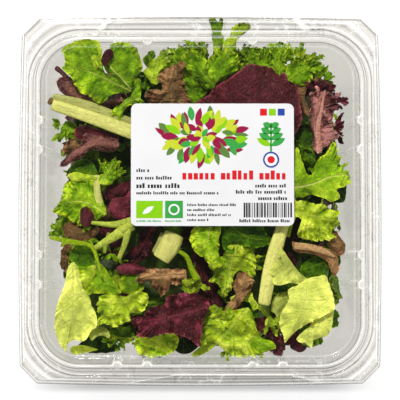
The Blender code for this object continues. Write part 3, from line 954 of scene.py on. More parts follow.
def soft_waves(rng, x, y, size, count=5):
    """A smooth uneven surface with hills of about this size, from -1 to 1."""
    total = np.zeros_like(x)
    for _ in range(count):
        turn = rng.uniform(0, 2 * math.pi)
        wave = 2 * math.pi / (size * rng.uniform(1.4, 3.0))
        total = total + np.sin(wave * (x * math.cos(turn) + y * math.sin(turn)) + rng.uniform(0, 2 * math.pi))
    return total / math.sqrt(count) * 0.8


NOISE_CELLS = 61  # after which the noise repeats


def value_noise(rng, x, y, size):
    """Smooth noise with hills of about this size, from -1 to 1."""
    heights = np.random.default_rng(rng.randrange(1 << 30)).uniform(-1.0, 1.0, (NOISE_CELLS, NOISE_CELLS))
    turn = rng.uniform(0, 2 * math.pi)
    u = (x * math.cos(turn) + y * math.sin(turn)) / size + NOISE_CELLS // 2
    v = (y * math.cos(turn) - x * math.sin(turn)) / size + NOISE_CELLS // 2
    i, j = np.floor(u).astype(int), np.floor(v).astype(int)
    s, t = u - i, v - j
    s, t = s * s * (3 - 2 * s), t * t * (3 - 2 * t)

    def corner(a, b):
        return heights[(i + a) % NOISE_CELLS, (j + b) % NOISE_CELLS]

    low = corner(0, 0) * (1 - s) + corner(1, 0) * s
    high = corner(0, 1) * (1 - s) + corner(1, 1) * s
    return low * (1 - t) + high * t


def puffs(rng, x, y, size):
    """A crumpled surface, round on top and creased between, from about -1 to 1."""
    coarse = np.abs(value_noise(rng, x, y, size))
    fine = np.abs(value_noise(rng, x, y, size * 0.42))
    return 2.4 * (coarse + 0.50 * fine) - 1.4


def wander(rng, values, size, amount):
    """A random smooth curve of values, from -amount to amount, with waves of about this size."""
    total = np.zeros_like(values)
    for share in (1.0, 0.43, 0.21):
        start = rng.uniform(0, 2 * math.pi)
        total = total + math.sqrt(share) * np.sin(2 * math.pi * values / (size * share) + start)
    return total * amount / 2.1


def oval_shape(cut, length, width, columns):
    """Margin and midrib of a plain leaf along +Y: for each column a point on the margin, the point on the
    midrib that its side vein leaves from, how far down it is from the tip, and the midrib's direction."""
    across = np.linspace(-1.0, 1.0, columns)
    down = np.abs(across)
    turn = across * cut.spread
    margin = np.column_stack((
        width / 2 * np.sin(turn), length * (1 - cut.half_height + cut.half_height * np.cos(turn))
    ))
    root = np.column_stack((np.zeros(columns), length * RIB_TIP * (1 - down) ** 0.9))
    heading = np.tile((0.0, 1.0), (columns, 1))
    return margin, root, down, heading


def drawn_shape(shape, columns):
    """The same for a leaf whose midrib and margin are drawn as points, from its base round to its base."""
    rib, outline = shape
    line = np.array(smooth_path(outline, 40 * len(outline)))
    reach = np.concatenate(([0.0], np.cumsum(np.hypot(*np.diff(line, axis=0).T))))
    at = np.linspace(0.0, reach[-1], columns)
    margin = np.column_stack([np.interp(at, reach, line[:, i]) for i in (0, 1)])
    share = at / reach[-1]
    top = share[np.argmin(np.hypot(*(margin - rib[-1]).T))]
    down = np.where(share < top, (top - share) / top, (share - top) / (1 - top))
    middle = np.array(smooth_path(rib, 60))
    ends = np.linspace(0, 1, 60)
    place = RIB_TIP * (1 - down) ** 0.9
    root = np.column_stack([np.interp(place, ends, middle[:, i]) for i in (0, 1)])
    heading = np.gradient(middle, axis=0)
    heading /= np.linalg.norm(heading, axis=1, keepdims=True)
    heading = np.column_stack([np.interp(place, ends, heading[:, i]) for i in (0, 1)])
    return margin, root, down, heading


def flat_leaf(cut, length, width, shape, columns, rows, rng):
    """A leaf in its own plane, as arrays of a grid. Columns follow the side veins, round from one side of
    the base over the tip to the other, and rows run from the midrib to the margin. Gives the place across
    the veins, the place from midrib to margin, the place across the midrib, how far each point stands above
    its surroundings (from -1 to 1), and x, y and height."""
    if shape:
        margin, root, down, heading = drawn_shape(shape, columns)
        lobe_depth = cut.lobe_depth * DRAWN_LOBES
    else:
        margin, root, down, heading = oval_shape(cut, length, width, columns)
        lobe_depth = cut.lobe_depth
    across = np.linspace(-1.0, 1.0, columns)
    along = (1 - (1 - np.linspace(0.0, 1.0, rows)[:, None]) ** 1.2) * np.ones((1, columns))
    girth = np.concatenate(([0.0], np.cumsum(np.hypot(*np.diff(margin, axis=0).T)))) / MM
    vein = cut.veins * down**0.85

    notch = (0.5 + 0.5 * np.cos(2 * math.pi * cut.lobes * (down**0.9 + wander(rng, across, 1.3, 0.08)))) ** 2
    notch = notch * np.clip(down * 6, 0, 1) * (0.80 + wander(rng, across, 0.9, 0.25))
    run = margin - root
    coarse, fine = (np.abs(value_noise(rng, girth, 0 * girth, size)) for size in (3.4, 1.5))
    ragged = 0.6 * coarse + 0.5 * fine
    ragged = cut.ragged * MM * ragged / np.maximum(np.linalg.norm(run, axis=1), 6.0 * MM)
    shrink = 1 - lobe_depth * notch * along**1.2 - ragged * along**5
    reach = (along * shrink)[..., None]

    middle = root + run / 2 - 0.12 * np.linalg.norm(run, axis=1, keepdims=True) * heading
    flat = (1 - reach) ** 2 * root + 2 * reach * (1 - reach) * middle + reach**2 * margin
    x, y = flat[..., 0], flat[..., 1]

    half_rib = cut.rib * width * (1.05 - 0.9 * np.clip(y / length, 0, 1))
    away = flat - root
    across_rib = np.abs(away[..., 0] * heading[:, 1] - away[..., 1] * heading[:, 0]) / half_rib

    tangent = np.gradient(margin, axis=0)
    tangent /= np.maximum(np.linalg.norm(tangent, axis=1, keepdims=True), 1e-9)
    wave = cut.wave * MM
    fold = 2 * math.pi * (girth + wander(rng, girth, cut.wave * 5.0, cut.wave * 0.8)) / cut.wave
    fold = fold + 1.3 * (1 - along)
    level = np.clip(0.8 + wander(rng, girth, cut.wave * 3.5, 0.6), 0.08, 1.5)
    level = level * np.clip(1.25 - down**3, 0.2, 1.0) * min(1.0, width / (2.2 * wave))
    depth = cut.frill * wave * level * along**cut.reach
    fine = 2.43 * fold + rng.uniform(0, 6.28)
    finer = 0.38 * depth * along**2
    height = depth * np.sin(fold) + finer * np.sin(fine)
    sway = -cut.curl * (0.42 * depth * np.sin(2 * fold) + 0.5 * finer * np.sin(2 * fine))
    x = x + sway * tangent[:, 0]
    y = y + sway * tangent[:, 1]
    relief = puffs(rng, x, y, 5.6 * MM) * np.clip(along * 4, 0.3, 1.0)
    height = height + 0.5 * cut.crumple * MM * relief
    relief = np.clip(0.6 * relief * cut.crumple + 0.8 * height / (wave * 0.3) * along**4, -1.5, 1.5)
    return vein * np.ones_like(along), along, across_rib, relief, x, y, height


def leaf_points(cut, length, width, shape, columns, rows, rng, fold, cup, twist, bend, dome, wobble):
    """A leaf with its fold, cup, twist and lengthwise bend. It starts at the origin, with its tip on +Y."""
    vein, along, rib, relief, x, y, z = flat_leaf(cut, length, width, shape, columns, rows, rng)
    flat = (x.copy(), y.copy())
    broad = soft_waves(rng, x, y, 0.45 * width)
    z = z + wobble * (broad + 0.5 * soft_waves(rng, x, y, 0.2 * width)) * along**0.5
    relief = relief + 0.5 * broad
    z = z + dome * (1 - along**2)
    z = z + fold * (np.sqrt(x * x + (0.05 * width) ** 2) - 0.05 * width)
    if abs(cup) > 1e-3:
        turn = x * cup / width
        x, z = (width / cup - z) * np.sin(turn), width / cup - (width / cup - z) * np.cos(turn)
    if abs(twist) > 1e-3:
        turn = twist * (y / length - 0.5)
        x, z = x * np.cos(turn) - z * np.sin(turn), x * np.sin(turn) + z * np.cos(turn)
    if abs(bend) > 1e-3:
        turn = bend * y / length
        y, z = (length / bend - z) * np.sin(turn), length / bend - (length / bend - z) * np.cos(turn)
        lean = -bend / 2
        y, z = y * math.cos(lean) - z * math.sin(lean), y * math.sin(lean) + z * math.cos(lean)
    return vein, along, rib, relief, flat, x, y, z


# A leaf in the heap: its cut, where it starts and where its tip is (millimetres), its width, its roll about
# the line between them (degrees), its bend, cup, fold and twist, its rise in the middle, how bright it is
# for its kind (0 is dark and 1 bright, and a few lie past that), whether it reaches over the rim, and its
# drawn midrib and margin, if it has them.
Leaf = namedtuple(
    "Leaf", "cut start tip width roll bend cup fold twist dome tone over shape",
    defaults=(0, 0, 0, 0, 0, 0, None, False, None),
)


def drawn(cut, z, rib, outline, dome=2.0, **more):
    """A leaf whose midrib and margin are drawn from above, as x, y, x, y and so on, in millimetres at the
    height of the rim. z is its height at the base and at the tip. The midrib runs from base to tip and the
    margin from the base round to the base."""
    scale = 1.0 if more.get("over") else DRAWN_SCALE
    rib, outline = (np.array(line, dtype=float).reshape(-1, 2) * scale for line in (rib, outline))
    forward = (rib[-1] - rib[0]) / np.linalg.norm(rib[-1] - rib[0])
    side = np.array((forward[1], -forward[0]))
    from_base = (line - rib[0] for line in (rib, outline))
    shape = tuple(np.column_stack((line @ side, line @ forward)) * MM for line in from_base)
    around = np.roll(outline, -1, axis=0)
    area = abs((outline[:, 0] * around[:, 1] - outline[:, 1] * around[:, 0]).sum()) / 2
    return Leaf(cut, (*rib[0], z[0]), (*rib[-1], z[1]), 1.1 * math.sqrt(area), dome=dome, shape=shape, **more)


class LeafPile:
    """Gathers the leaves of one kind into one mesh."""

    def __init__(self, shell):
        self.shell = shell
        self.points, self.fans, self.flats, self.quads = [], [], [], []
        self.count = 0

    def add_grid(self, points, fan, flat, rows, columns, over=False, closed=False):
        points = keep_inside(self.shell, points, over)
        self.quads.append(grid_faces(rows, columns, closed=closed, first=self.count))
        self.points.append(points)
        self.fans.append(fan)
        self.flats.append(flat)
        self.count += len(points)

    def add_leaf(self, leaf, rng, detail=1.0):
        start, tip = (Vector(p) * MM for p in (leaf.start, leaf.tip))
        chord = (tip - start).length
        half = leaf.bend / 2
        length = chord / (math.sin(half) / half if abs(half) > 1e-3 else 1.0)
        width = leaf.width * MM
        if leaf.shape:
            girth = np.hypot(*np.diff(leaf.shape[1], axis=0).T).sum() / MM
        else:
            girth = 1.35 * (length + width) / MM
        columns = int(girth / COLUMN_STEP * detail) | 1
        rows = max(8, int(LEAF_ROWS * detail))
        vein, along, rib, relief, flat, x, y, z = leaf_points(
            CUTS[leaf.cut], length, width, leaf.shape, columns, rows, rng,
            leaf.fold, leaf.cup, leaf.twist, leaf.bend, leaf.dome * MM, WOBBLE * width,
        )
        forward = (tip - start).normalized()
        side = forward.cross(Vector((0, 0, 1)))
        side = side.normalized() if side.length > 1e-3 else Vector((1, 0, 0))
        turned = Matrix.Rotation(math.radians(leaf.roll), 3, forward)
        side = turned @ side
        normal = side.cross(forward)
        axes = np.array((side, forward, normal))
        local = np.stack((x, y, z), axis=-1).reshape(-1, 3)
        points = local @ axes + np.array(start)
        tone = rng.uniform(0.25, 0.75)
        tone = tone if leaf.tone is None else leaf.tone
        # the tone carries painted light on the crests and painted shade in the hollows
        fan = np.column_stack((vein.ravel(), along.ravel(), tone + RELIEF_SHADE * relief.ravel()))
        seed = rng.uniform(0, 5.0)
        flat = np.column_stack((flat[0].ravel() + seed, flat[1].ravel(), rib.ravel()))
        self.add_grid(points, fan, flat, rows, columns, leaf.over)

    def add_stem(self, path, radii, flatness, tone, rng, rings=40, sides=14):
        """A pale stem: an oval tube along a smooth line through the path's points, grooved lengthwise."""
        path = np.array(path, dtype=float) * MM
        radii = np.array(radii, dtype=float) * MM
        ends = np.linspace(0, 1, len(path))
        at = np.linspace(0, 1, rings)
        line = np.column_stack([smooth_line(ends, path[:, i], at) for i in range(3)])
        thick = smooth_line(ends, radii, at)
        thick[[0, -1]] *= END_TAPER
        heading = np.gradient(line, axis=0)
        heading /= np.linalg.norm(heading, axis=1, keepdims=True)
        side = np.cross(heading, (0, 0, 1.0))
        side /= np.maximum(np.linalg.norm(side, axis=1, keepdims=True), 1e-9)
        up = np.cross(side, heading)
        turn = np.linspace(0, 2 * math.pi, sides, endpoint=False)
        groove = 1 - 0.07 * np.cos(5 * turn) - 0.05 * np.cos(3 * turn + rng.uniform(0, 6))
        wide = np.cos(turn) * groove
        high = np.sin(turn) * groove * flatness
        line = line[:, None]
        around = side[:, None] * wide[None, :, None] + up[:, None] * high[None, :, None]
        points = line + thick[:, None, None] * around
        first, last = (line[i] + (points[i] - line[i]) * CAP_SHARE for i in (slice(0, 1), slice(-1, None)))
        points = np.concatenate((first, points, last))
        rows = rings + 2
        share = np.linspace(0, 0.35, rows)[:, None] * np.ones(sides)
        fan = np.column_stack((np.full(rows * sides, 0.5), share.ravel(), np.full(rows * sides, tone)))
        flat = np.column_stack((
            np.tile(np.cos(turn) * thick.mean(), rows) + rng.uniform(0, 5),
            np.repeat(np.linspace(0, 1, rows) * 0.05, sides), np.zeros(rows * sides),
        ))
        self.add_grid(points.reshape(-1, 3), fan, flat, rows, sides, closed=True)

    def make(self, name, material):
        mesh = mesh_of(name, np.concatenate(self.points), np.concatenate(self.quads))
        for attribute, values in (("leaf_fan", self.fans), ("leaf_flat", self.flats)):
            layer = mesh.attributes.new(attribute, "FLOAT_VECTOR", "POINT")
            layer.data.foreach_set("vector", np.concatenate(values).astype(np.float32).ravel())
        piece = new_piece(name, mesh, material)
        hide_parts("salad_heap")
        return piece


def smooth_path(points, count):
    """Points along a smooth curve through the given ones."""
    points = np.array(points, dtype=float)
    steps = np.linalg.norm(np.diff(points, axis=0), axis=1)
    knots = np.concatenate(([0.0], np.cumsum(steps))) / steps.sum()
    at = np.linspace(0, 1, count)
    return np.column_stack([smooth_line(knots, points[:, i], at) for i in range(points.shape[1])])


def smooth_line(knots, values, at):
    """A smooth curve through values at the knots."""
    slopes = np.gradient(values, knots)
    i = np.clip(np.searchsorted(knots, at, side="right") - 1, 0, len(knots) - 2)
    span = knots[i + 1] - knots[i]
    t = (at - knots[i]) / span
    a = (2 * t**3 - 3 * t**2 + 1) * values[i] + (t**3 - 2 * t**2 + t) * span * slopes[i]
    b = (-2 * t**3 + 3 * t**2) * values[i + 1] + (t**3 - t**2) * span * slopes[i + 1]
    return a + b


# LEAVES: THE ONES ON TOP

GREEN_LEAVES = (
    # over the rim, at the back
    drawn("oak", (62, 60), (9, 60, 9, 75, 8, 94), (5, 62, 4, 68, 5.5, 74, 6.5, 79, 5.8, 85, 5.5, 91,
        4.5, 94, 7, 95.5, 9, 93.5, 11, 95.5, 12.4, 92, 11.6, 89, 12.8, 85, 12, 78, 12.5, 70, 11, 62),
        dome=1.0, tone=0.0, over=True),
    # upper left, two broad lobes
    drawn("batavia", (65, 66), (-36, 56, -48, 62, -60, 67, -73, 69), (-38.5, 56.5, -42, 55, -47, 53.5,
        -50, 50.5, -53, 49, -56, 50, -58, 53, -62, 54, -65, 57, -66.5, 59.5, -67, 62, -69, 64, -71, 66,
        -73.5, 69, -71.5, 71, -72, 74, -73, 77, -71.5, 80, -69, 82.5, -65, 84, -62, 85.5, -59.5, 86.5,
        -56, 83, -55, 76, -54, 69, -46, 64, -40, 60, -37, 57.5), dome=1.0, fold=0.3, tone=0.42),
    # beside it, with a pale midrib
    drawn("ribbed", (62, 64), (-36, 57, -41, 63, -48, 71, -47, 82), (-37, 57.5, -41, 60, -46, 64,
        -50.5, 68, -51, 72, -48, 75, -46, 77, -47.5, 80, -46.5, 82.5, -43, 83.5, -39, 83.5, -35.5, 82.5,
        -33, 80.5, -32, 77.5, -31, 75.5, -30, 73, -29.5, 70, -31, 67, -33, 65, -34.5, 62, -35.5, 58),
        dome=3.0, tone=0.38),
    drawn("curly", (67, 66), (-31, 52, -36, 51, -46, 43), (-31, 57, -31, 61, -31.5, 64, -33, 64.5,
        -34.5, 62, -35, 58, -36, 55, -39, 53, -42, 49.5, -45, 47, -48, 44, -45, 41.5, -43.5, 39,
        -41.5, 40, -41, 43, -39, 46.5, -36, 48, -28, 49), tone=0.55),
    drawn("curly", (58, 60), (-27, 69, -26, 79), (-29, 71, -31, 74, -28, 78, -25, 79, -22.5, 77.5,
        -24, 74.5, -24, 71), tone=0.3),
    # right, with a broad pale midrib
    drawn("ribbed", (67, 64), (48, 5, 58, 7, 68, 11, 80, 12), (49, -1, 54, 0, 58, 1.5, 62, 0, 66, -1.5,
        70, -2.5, 74, 0, 72, 4, 76, 6, 79.5, 8, 80.5, 11.5, 79, 14.5, 76.5, 16, 78.5, 19, 76, 18.5,
        73, 17, 74.5, 21.5, 72.5, 24, 73, 28, 70, 30.5, 68, 27.5, 66, 24, 63, 22, 60.5, 18, 59.5, 14,
        57, 12.5, 55, 16, 53, 21, 51, 27, 49, 24, 48, 10), dome=3.0, tone=0.8),
    # under the label, lower middle
    drawn("batavia", (66, 63), (6, -12, 4, -24, 8, -38), (-2, -13, -6, -20, -5, -25, -3, -28.5, -1, -31,
        2, -32.5, 5, -34.5, 8, -38, 10, -37, 13, -35, 11, -31, 10.5, -26, 11, -20, 12, -13),
        dome=3.0, tone=0.9),
    drawn("smooth", (58, 60), (28, -72, 33, -76, 39, -78), (30, -72, 34, -73.5, 39, -75.5, 40, -78,
        36, -80, 31, -82, 27, -80), tone=0.75),
    # lower left, frilled
    drawn("smooth", (60, 62), (-55, -33, -51, -41, -43, -49), (-57, -36, -58, -42, -56, -50, -50, -50,
        -44, -51, -41, -50, -43, -46, -47, -41, -51, -35, -54, -33), tone=0.55),
    drawn("smooth", (56, 58), (-32, -40, -38, -47), (-34, -39, -40, -40, -43, -44, -42, -49, -36, -50,
        -30, -48, -29, -43), tone=0.4),
    drawn("curly", (55, 54), (-20, -66, -24, -84), (-30, -68, -35, -73, -36, -78, -33, -82, -28, -84.5,
        -22, -84.5, -16, -83, -12, -80, -10.5, -76, -12, -71, -16, -67), tone=1.4),
    drawn("curly", (52, 50), (-40, -67, -44, -75), (-36, -67, -34.5, -73, -38, -76, -43, -76, -48, -74,
        -50, -70, -46, -67), tone=0.25),
    # far left
    drawn("curly", (62, 62), (-49, -8, -60, -2, -76, -3), (-50, -3, -52, 4, -52, 11, -57, 11.5, -63, 12,
        -68, 12, -71, 9, -73, 4, -74.5, -1, -76.5, -4, -78.5, -7.5, -75, -9.5, -71, -10, -68, -13,
        -63, -15, -57, -13, -52, -10), tone=0.85),
    drawn("curly", (58, 58), (-72, -9, -76, -20), (-70, -11, -72, -16, -74, -21, -77, -20, -77.5, -15,
        -76, -10, -74, -9), tone=0.5),
    drawn("curly", (58, 60), (-65, 36, -74, 37), (-65, 33, -68, 31.5, -71, 32, -74.5, 36, -72.5, 40.5,
        -69, 42.5, -66, 41, -64, 38), tone=0.62),
    drawn("frisee", (66, 66), (-51, 7, -48, 13, -44, 21), (-53.5, 8, -53, 12, -50, 14, -48.5, 17,
        -46, 19.5, -44, 21.5, -43, 19, -43.5, 15, -42, 11, -44, 8.5, -47, 7), tone=0.75),
)

LIME_LEAVES = (
    drawn("curly", (63, 64), (-34, -49, -42, -56, -50, -66), (-38, -50, -41, -53, -45, -50.5, -50, -49,
        -53, -51, -55, -57, -54, -62, -55, -67, -50, -66.5, -45, -68, -40, -67, -36, -65, -35, -61,
        -31, -60.5, -27.5, -58, -26, -54, -27, -50, -30, -48), tone=0.55),
    drawn("curly", (60, 60), (25, -57, 16, -68, 6, -79), (14, -60, 8, -59, 3, -62, 1, -66, 1, -72, 3, -77,
        8, -77, 12, -80, 16, -83.5, 21, -84.5, 26, -83.5, 31, -81, 33, -75, 31, -71, 29.5, -66, 28, -61),
        dome=4.0, fold=-0.1, tone=0.6),
    # over the rim, at the back
    drawn("oak", (62, 60), (13, 62, 16, 78, 24, 91), (10, 62, 11, 70, 11.5, 78, 13, 84, 15.5, 87.5,
        17, 91.5, 19.5, 91.5, 22, 92.5, 25.5, 92, 27, 90, 24.5, 88, 21, 86, 19.3, 82, 19.3, 77, 18.5, 71,
        16, 64), dome=1.0, tone=0.25, over=True),
    # flap of the upper left leaf
    drawn("smooth", (68, 65), (-53, 68, -56, 76, -60, 86), (-55, 67.5, -56.5, 70, -58.5, 74, -61, 78,
        -62.5, 82, -60.5, 86.5, -57, 85.5, -53, 82.5, -51.5, 79, -51.3, 74, -51, 69, -52.5, 67.5),
        dome=2.5, tone=0.35),
    drawn("curly", (64, 58), (-23, 59, -23, 69, -18, 81), (-27, 62, -29, 65, -31, 68, -30, 71, -28, 73,
        -25.5, 75, -22, 77, -21, 80, -18, 82, -15.5, 79.5, -17, 76, -15, 73, -16.5, 70.5, -19, 69,
        -21, 67, -21, 62), tone=0.4),
    drawn("curly", (66, 63), (47, -6, 60, -10, 74, -12), (48, 0, 55, 0, 62, -2, 67, -3, 71, -5, 74.5, -7,
        73, -10, 75, -13.5, 72, -16, 70, -18, 71.5, -21.5, 69.5, -24, 66, -23.5, 62, -24, 57, -23,
        52, -22, 50.5, -19.5, 53.5, -17, 55, -14, 52, -11, 47, -12), tone=0.65),
    drawn("smooth", (66, 62), (47, 0, 46, -18), (44, -2, 43.5, -10, 44, -18, 46.5, -21, 48.5, -15,
        50.5, -10, 51.5, -4), tone=0.3),
    # frill inside the large lower left leaf
    drawn("curly", (62, 63), (-55, -35, -62, -48), (-58, -35.5, -62, -36.5, -65, -37, -64, -41, -63, -46,
        -60, -50, -57, -51.5, -56, -47, -55.5, -42, -53.5, -38), tone=0.85),
    drawn("plain", (50, 52), (-54, -79.5, -69, -80), (-55, -79, -60, -77.5, -65, -77, -69, -78.5,
        -68.5, -81.5, -65, -82, -60, -81, -56, -80), dome=1.0, tone=1.3),
    drawn("curly", (54, 54), (-36, -73.5, -48, -72), (-38, -72.5, -44, -73, -46.5, -71, -49, -70,
        -48, -74.5, -42, -75.5, -38, -76.5, -34.5, -75), dome=0.5, tone=0.4),
    # yellow-green lobes, lower middle
    drawn("oak", (62, 58), (18, -24, 16, -36, 12, -52), (13, -25, 12, -30, 3, -33, 5, -37, 6, -41,
        3, -44.5, 8, -45.5, 10.5, -49, 12, -53.5, 15.5, -50, 18, -46, 18, -41, 22, -38, 26, -41,
        30, -41.5, 31, -38, 30, -33, 29, -29, 25, -25), dome=1.5, tone=0.5),
    drawn("oak", (57, 57), (16, -53, 24, -52, 30, -58), (16, -51.5, 20, -50, 24, -51, 27, -48.5,
        29, -52.5, 31, -58, 28.5, -59.5, 26.5, -55, 22, -54, 17, -55), dome=0.5, tone=0.8),
    drawn("frisee", (58, 57), (31, -56, 36, -61, 38, -67), (33, -56, 36, -58.5, 38.5, -62, 40.5, -65,
        37, -67.5, 33, -67, 35.5, -63.5, 32, -60, 30, -57), dome=0.5, tone=0.8),
    drawn("plain", (58, 57), (12, -72, 4, -78, -4, -83), (8, -73, 3, -76.5, -2, -79, -5, -83, -3, -84,
        0, -82.5, 4, -80.5, 9, -76.5, 12, -74), dome=0.5, tone=0.65),
    drawn("curly", (60, 59), (10, -57, 4, -64), (7, -55, 4, -57, 3, -61, 2, -65, 5, -67, 9, -64, 12, -61,
        12, -57), tone=0.5),
    drawn("smooth", (62, 61), (-54, 10, -69, 12), (-54, 12, -60, 13, -67, 14, -70, 12.5, -68, 10, -60, 9,
        -54, 8.5), tone=0.9),
    drawn("curly", (62, 61), (-8, -42, -5, -51), (-10, -43, -9.5, -47, -7, -51, -4, -51, -4.5, -47,
        -5, -43), tone=0.6),
)

PALE_LEAVES = (
    # large leaf at the lower right, and its lower and upper folds
    drawn("plain", (68, 66), (56, -42, 54, -56, 44.5, -74), (60, -41, 66, -40.5, 67.5, -44.5, 69, -49,
        70, -54, 69.8, -58, 66, -60.5, 61, -63, 56, -66, 50, -69.5, 46, -73.5, 44, -75.5, 43, -72,
        41.5, -68, 41, -63.5, 43, -58, 46, -52, 45.5, -48, 50, -45.5, 54, -43), dome=1.5, tone=0.65),
    drawn("plain", (65, 62), (66, -58, 62, -66, 57, -77), (70, -57, 69.5, -63, 68.3, -69, 66, -72.5,
        62, -73.5, 59, -75, 58.3, -78.5, 55, -76.5, 50, -74, 52, -71, 57, -67, 60, -61, 63, -58),
        dome=1.5, tone=0.55),
    drawn("plain", (68, 66), (42, -26, 48, -36, 54, -44), (44, -28, 47, -32.5, 50, -36.5, 53, -40,
        57, -43.5, 52, -45.5, 46, -44.5, 42, -45.5, 38, -44.5, 37, -42.5, 40, -41.5, 36, -39.5, 36, -37,
        40, -35.5, 42, -33, 41, -29), dome=0.5, fold=0.25, tone=0.35),
    drawn("smooth", (60, 60), (39, -60, 42, -54, 47, -51), (37, -59, 37.5, -55, 38.5, -52, 41, -49.5,
        45, -49, 48, -51, 47, -55, 44, -60, 41, -62.5), dome=1.0, tone=0.05),
    # large folded leaf at the lower left
    drawn("plain", (65, 62), (-66, -33, -66, -50, -67, -64, -70.5, -80), (-69, -36, -70, -41, -71, -46,
        -73, -51, -75, -57, -76, -63, -76, -70, -74, -75, -72, -79, -70.5, -81, -69, -76.5, -65, -74.5,
        -61, -75, -58, -72.5, -56.5, -69.5, -54, -67.5, -54, -61, -56.5, -56, -58, -51, -61, -47,
        -62, -42, -63.5, -36), dome=2.5, tone=0.6),
    drawn("plain", (58, 59), (-56, -68, -50, -71), (-57.5, -69, -58, -72.5, -57, -75, -54, -72.5,
        -50, -72, -47.5, -73.5, -47, -70, -50, -67.5, -54, -67), dome=0.5, tone=0.0),
)

FRISEE_LEAVES = (
    drawn("frisee", (62, 60), (3, 68, -2, 77, -9, 87), (0, 70, -4, 76, -6, 81, -9.5, 85, -10, 87.5,
        -6, 86.5, -3.5, 84.5, -1, 82, 0.5, 87, 2.5, 86, 1, 79, 4, 73), dome=1.0, tone=0.7),
    drawn("frisee", (60, 58), (-5, 68, -11, 80), (-8, 72, -13, 75, -15, 79, -12, 81.5, -9, 80.5, -7, 78,
        -2, 74), tone=0.35),
    drawn("curly", (64, 62), (8, 58, -2, 70, -8, 77), (2, 58, -4, 63, -8, 68, -8.5, 72, -11, 75, -8, 78,
        -3, 78, 1, 76, 6, 72, 8, 66), tone=0.5),
    drawn("curly", (62, 64), (4, 58, 14, 68, 20, 74), (2, 62, 2, 69, 4, 74, 8, 78, 12, 76, 16, 77,
        19.5, 78, 21, 74, 21, 68, 15, 65, 10, 62), tone=0.55),
    drawn("curly", (58, 60), (-2, 50, -4, 62), (-6, 52, -9, 58, -8.5, 65, -5, 70, 0, 69, 4, 64, 4, 56,
        1, 51), tone=0.2),
    drawn("frisee", (60, 58), (24, 64, 27, 80), (20, 68, 20, 73, 22, 78, 26, 78, 28.5, 80, 31, 78, 33, 74,
        30, 68), tone=0.35),
    drawn("frisee", (60, 60), (32, 66, 36, 76), (28, 70, 29, 75, 33, 77.5, 37, 76, 40, 74, 38, 69),
        tone=0.6),
    drawn("frisee", (62, 60), (42, 64, 42, 74, 45, 83), (38, 68, 37.5, 74, 38.5, 77, 35.5, 80, 37, 84,
        40, 82.5, 42, 80, 45.5, 83.5, 47, 80.5, 45.5, 77, 45.5, 73, 47, 68), tone=0.6),
    drawn("frisee", (62, 58), (46, 62, 54, 68, 63, 74), (45, 68, 47, 73, 50, 75, 53, 76, 55.5, 75.5,
        58, 77, 61, 76.5, 63.5, 75.5, 62, 72.5, 65, 70, 64, 67.5, 61, 65.5, 60.5, 62, 57, 59.5, 52, 60),
        tone=0.5),
)

DARK_LEAVES = (
    drawn("smooth", (64, 64), (13, -12, 24, -20, 38, -22.5), (12, -16, 11.5, -21, 12.5, -27, 17, -28.5,
        20, -26.5, 24, -25.5, 28, -26.5, 33, -25.5, 38.5, -22.5, 35, -18, 32, -13, 22, -11),
        dome=2.5, tone=0.6),
    drawn("smooth", (56, 56), (54, 19, 54, 37), (51, 24, 50, 31, 52, 37, 55.5, 38.5, 59, 36, 60.5, 30,
        60, 24, 57, 19), tone=0.4),
    drawn("smooth", (58, 58), (61, 20, 52, 27), (60, 26, 56, 28, 52, 28.5, 53, 23, 56, 19.5, 59, 18),
        tone=0.9),
    drawn("smooth", (58, 57), (66, -33, 53, -38), (65, -31, 61, -30, 57, -31.5, 54, -34, 52.5, -37,
        54, -40.5, 58, -43, 63, -43, 67, -41.5, 68, -37), tone=0.75),
    drawn("smooth", (57, 57), (-54, 13, -68, 16), (-56, 18.5, -60, 21.5, -66, 20.5, -69.5, 15, -68, 11,
        -62, 10, -55, 10), tone=0.75),
    drawn("smooth", (54, 55), (-45, 13, -52, 18), (-46, 18, -49, 20.5, -53, 18, -53, 14.5, -49, 13),
        tone=0.75),
    drawn("smooth", (62, 62), (-66, -26, -54, -31), (-68.5, -28, -68.5, -32, -66, -35, -62, -37, -57, -36,
        -53, -33.5, -53.5, -29, -57, -25, -64, -24.5), dome=-2.0, tone=0.85),
    drawn("curly", (50, 48), (67, -58, 73, -68), (70, -57, 73, -58.5, 74.5, -63, 73.5, -67.5, 71, -69,
        67.5, -67, 66, -61), tone=1.0),
    drawn("curly", (52, 50), (58, -70, 62, -79), (56, -74, 57, -80, 60, -78.5, 64, -77, 66.5, -73.5,
        64, -70), tone=0.9),
    drawn("smooth", (54, 54), (38, -44, 46, -48), (37, -46, 38, -50, 43, -51, 47, -49, 47, -44, 41, -42),
        tone=0.6),
    drawn("curly", (50, 52), (20, -54, 27, -62), (17, -56, 17, -61, 21, -64, 27, -65, 32, -62, 30, -56,
        25, -53), tone=0.3),
    drawn("smooth", (50, 50), (-30, -17, -24, -24), (-34, -17, -34, -22, -29, -27, -24, -26, -23, -20,
        -27, -15), tone=0.45),
    drawn("curly", (56, 52), (-30, 58, -28, 70), (-33, 60, -34, 66, -30, 71, -25, 68, -24, 62, -26, 57),
        tone=0.5),
    Leaf("smooth", (46, -60, 53), (64, -71, 53), 22, tone=0.2),
    # painted shade: a deep leaf, darker than its kind, in the dark gap at the lower left
    Leaf("smooth", (-64, -76, 40), (-43, -77, 40), 12, tone=-0.25),
)

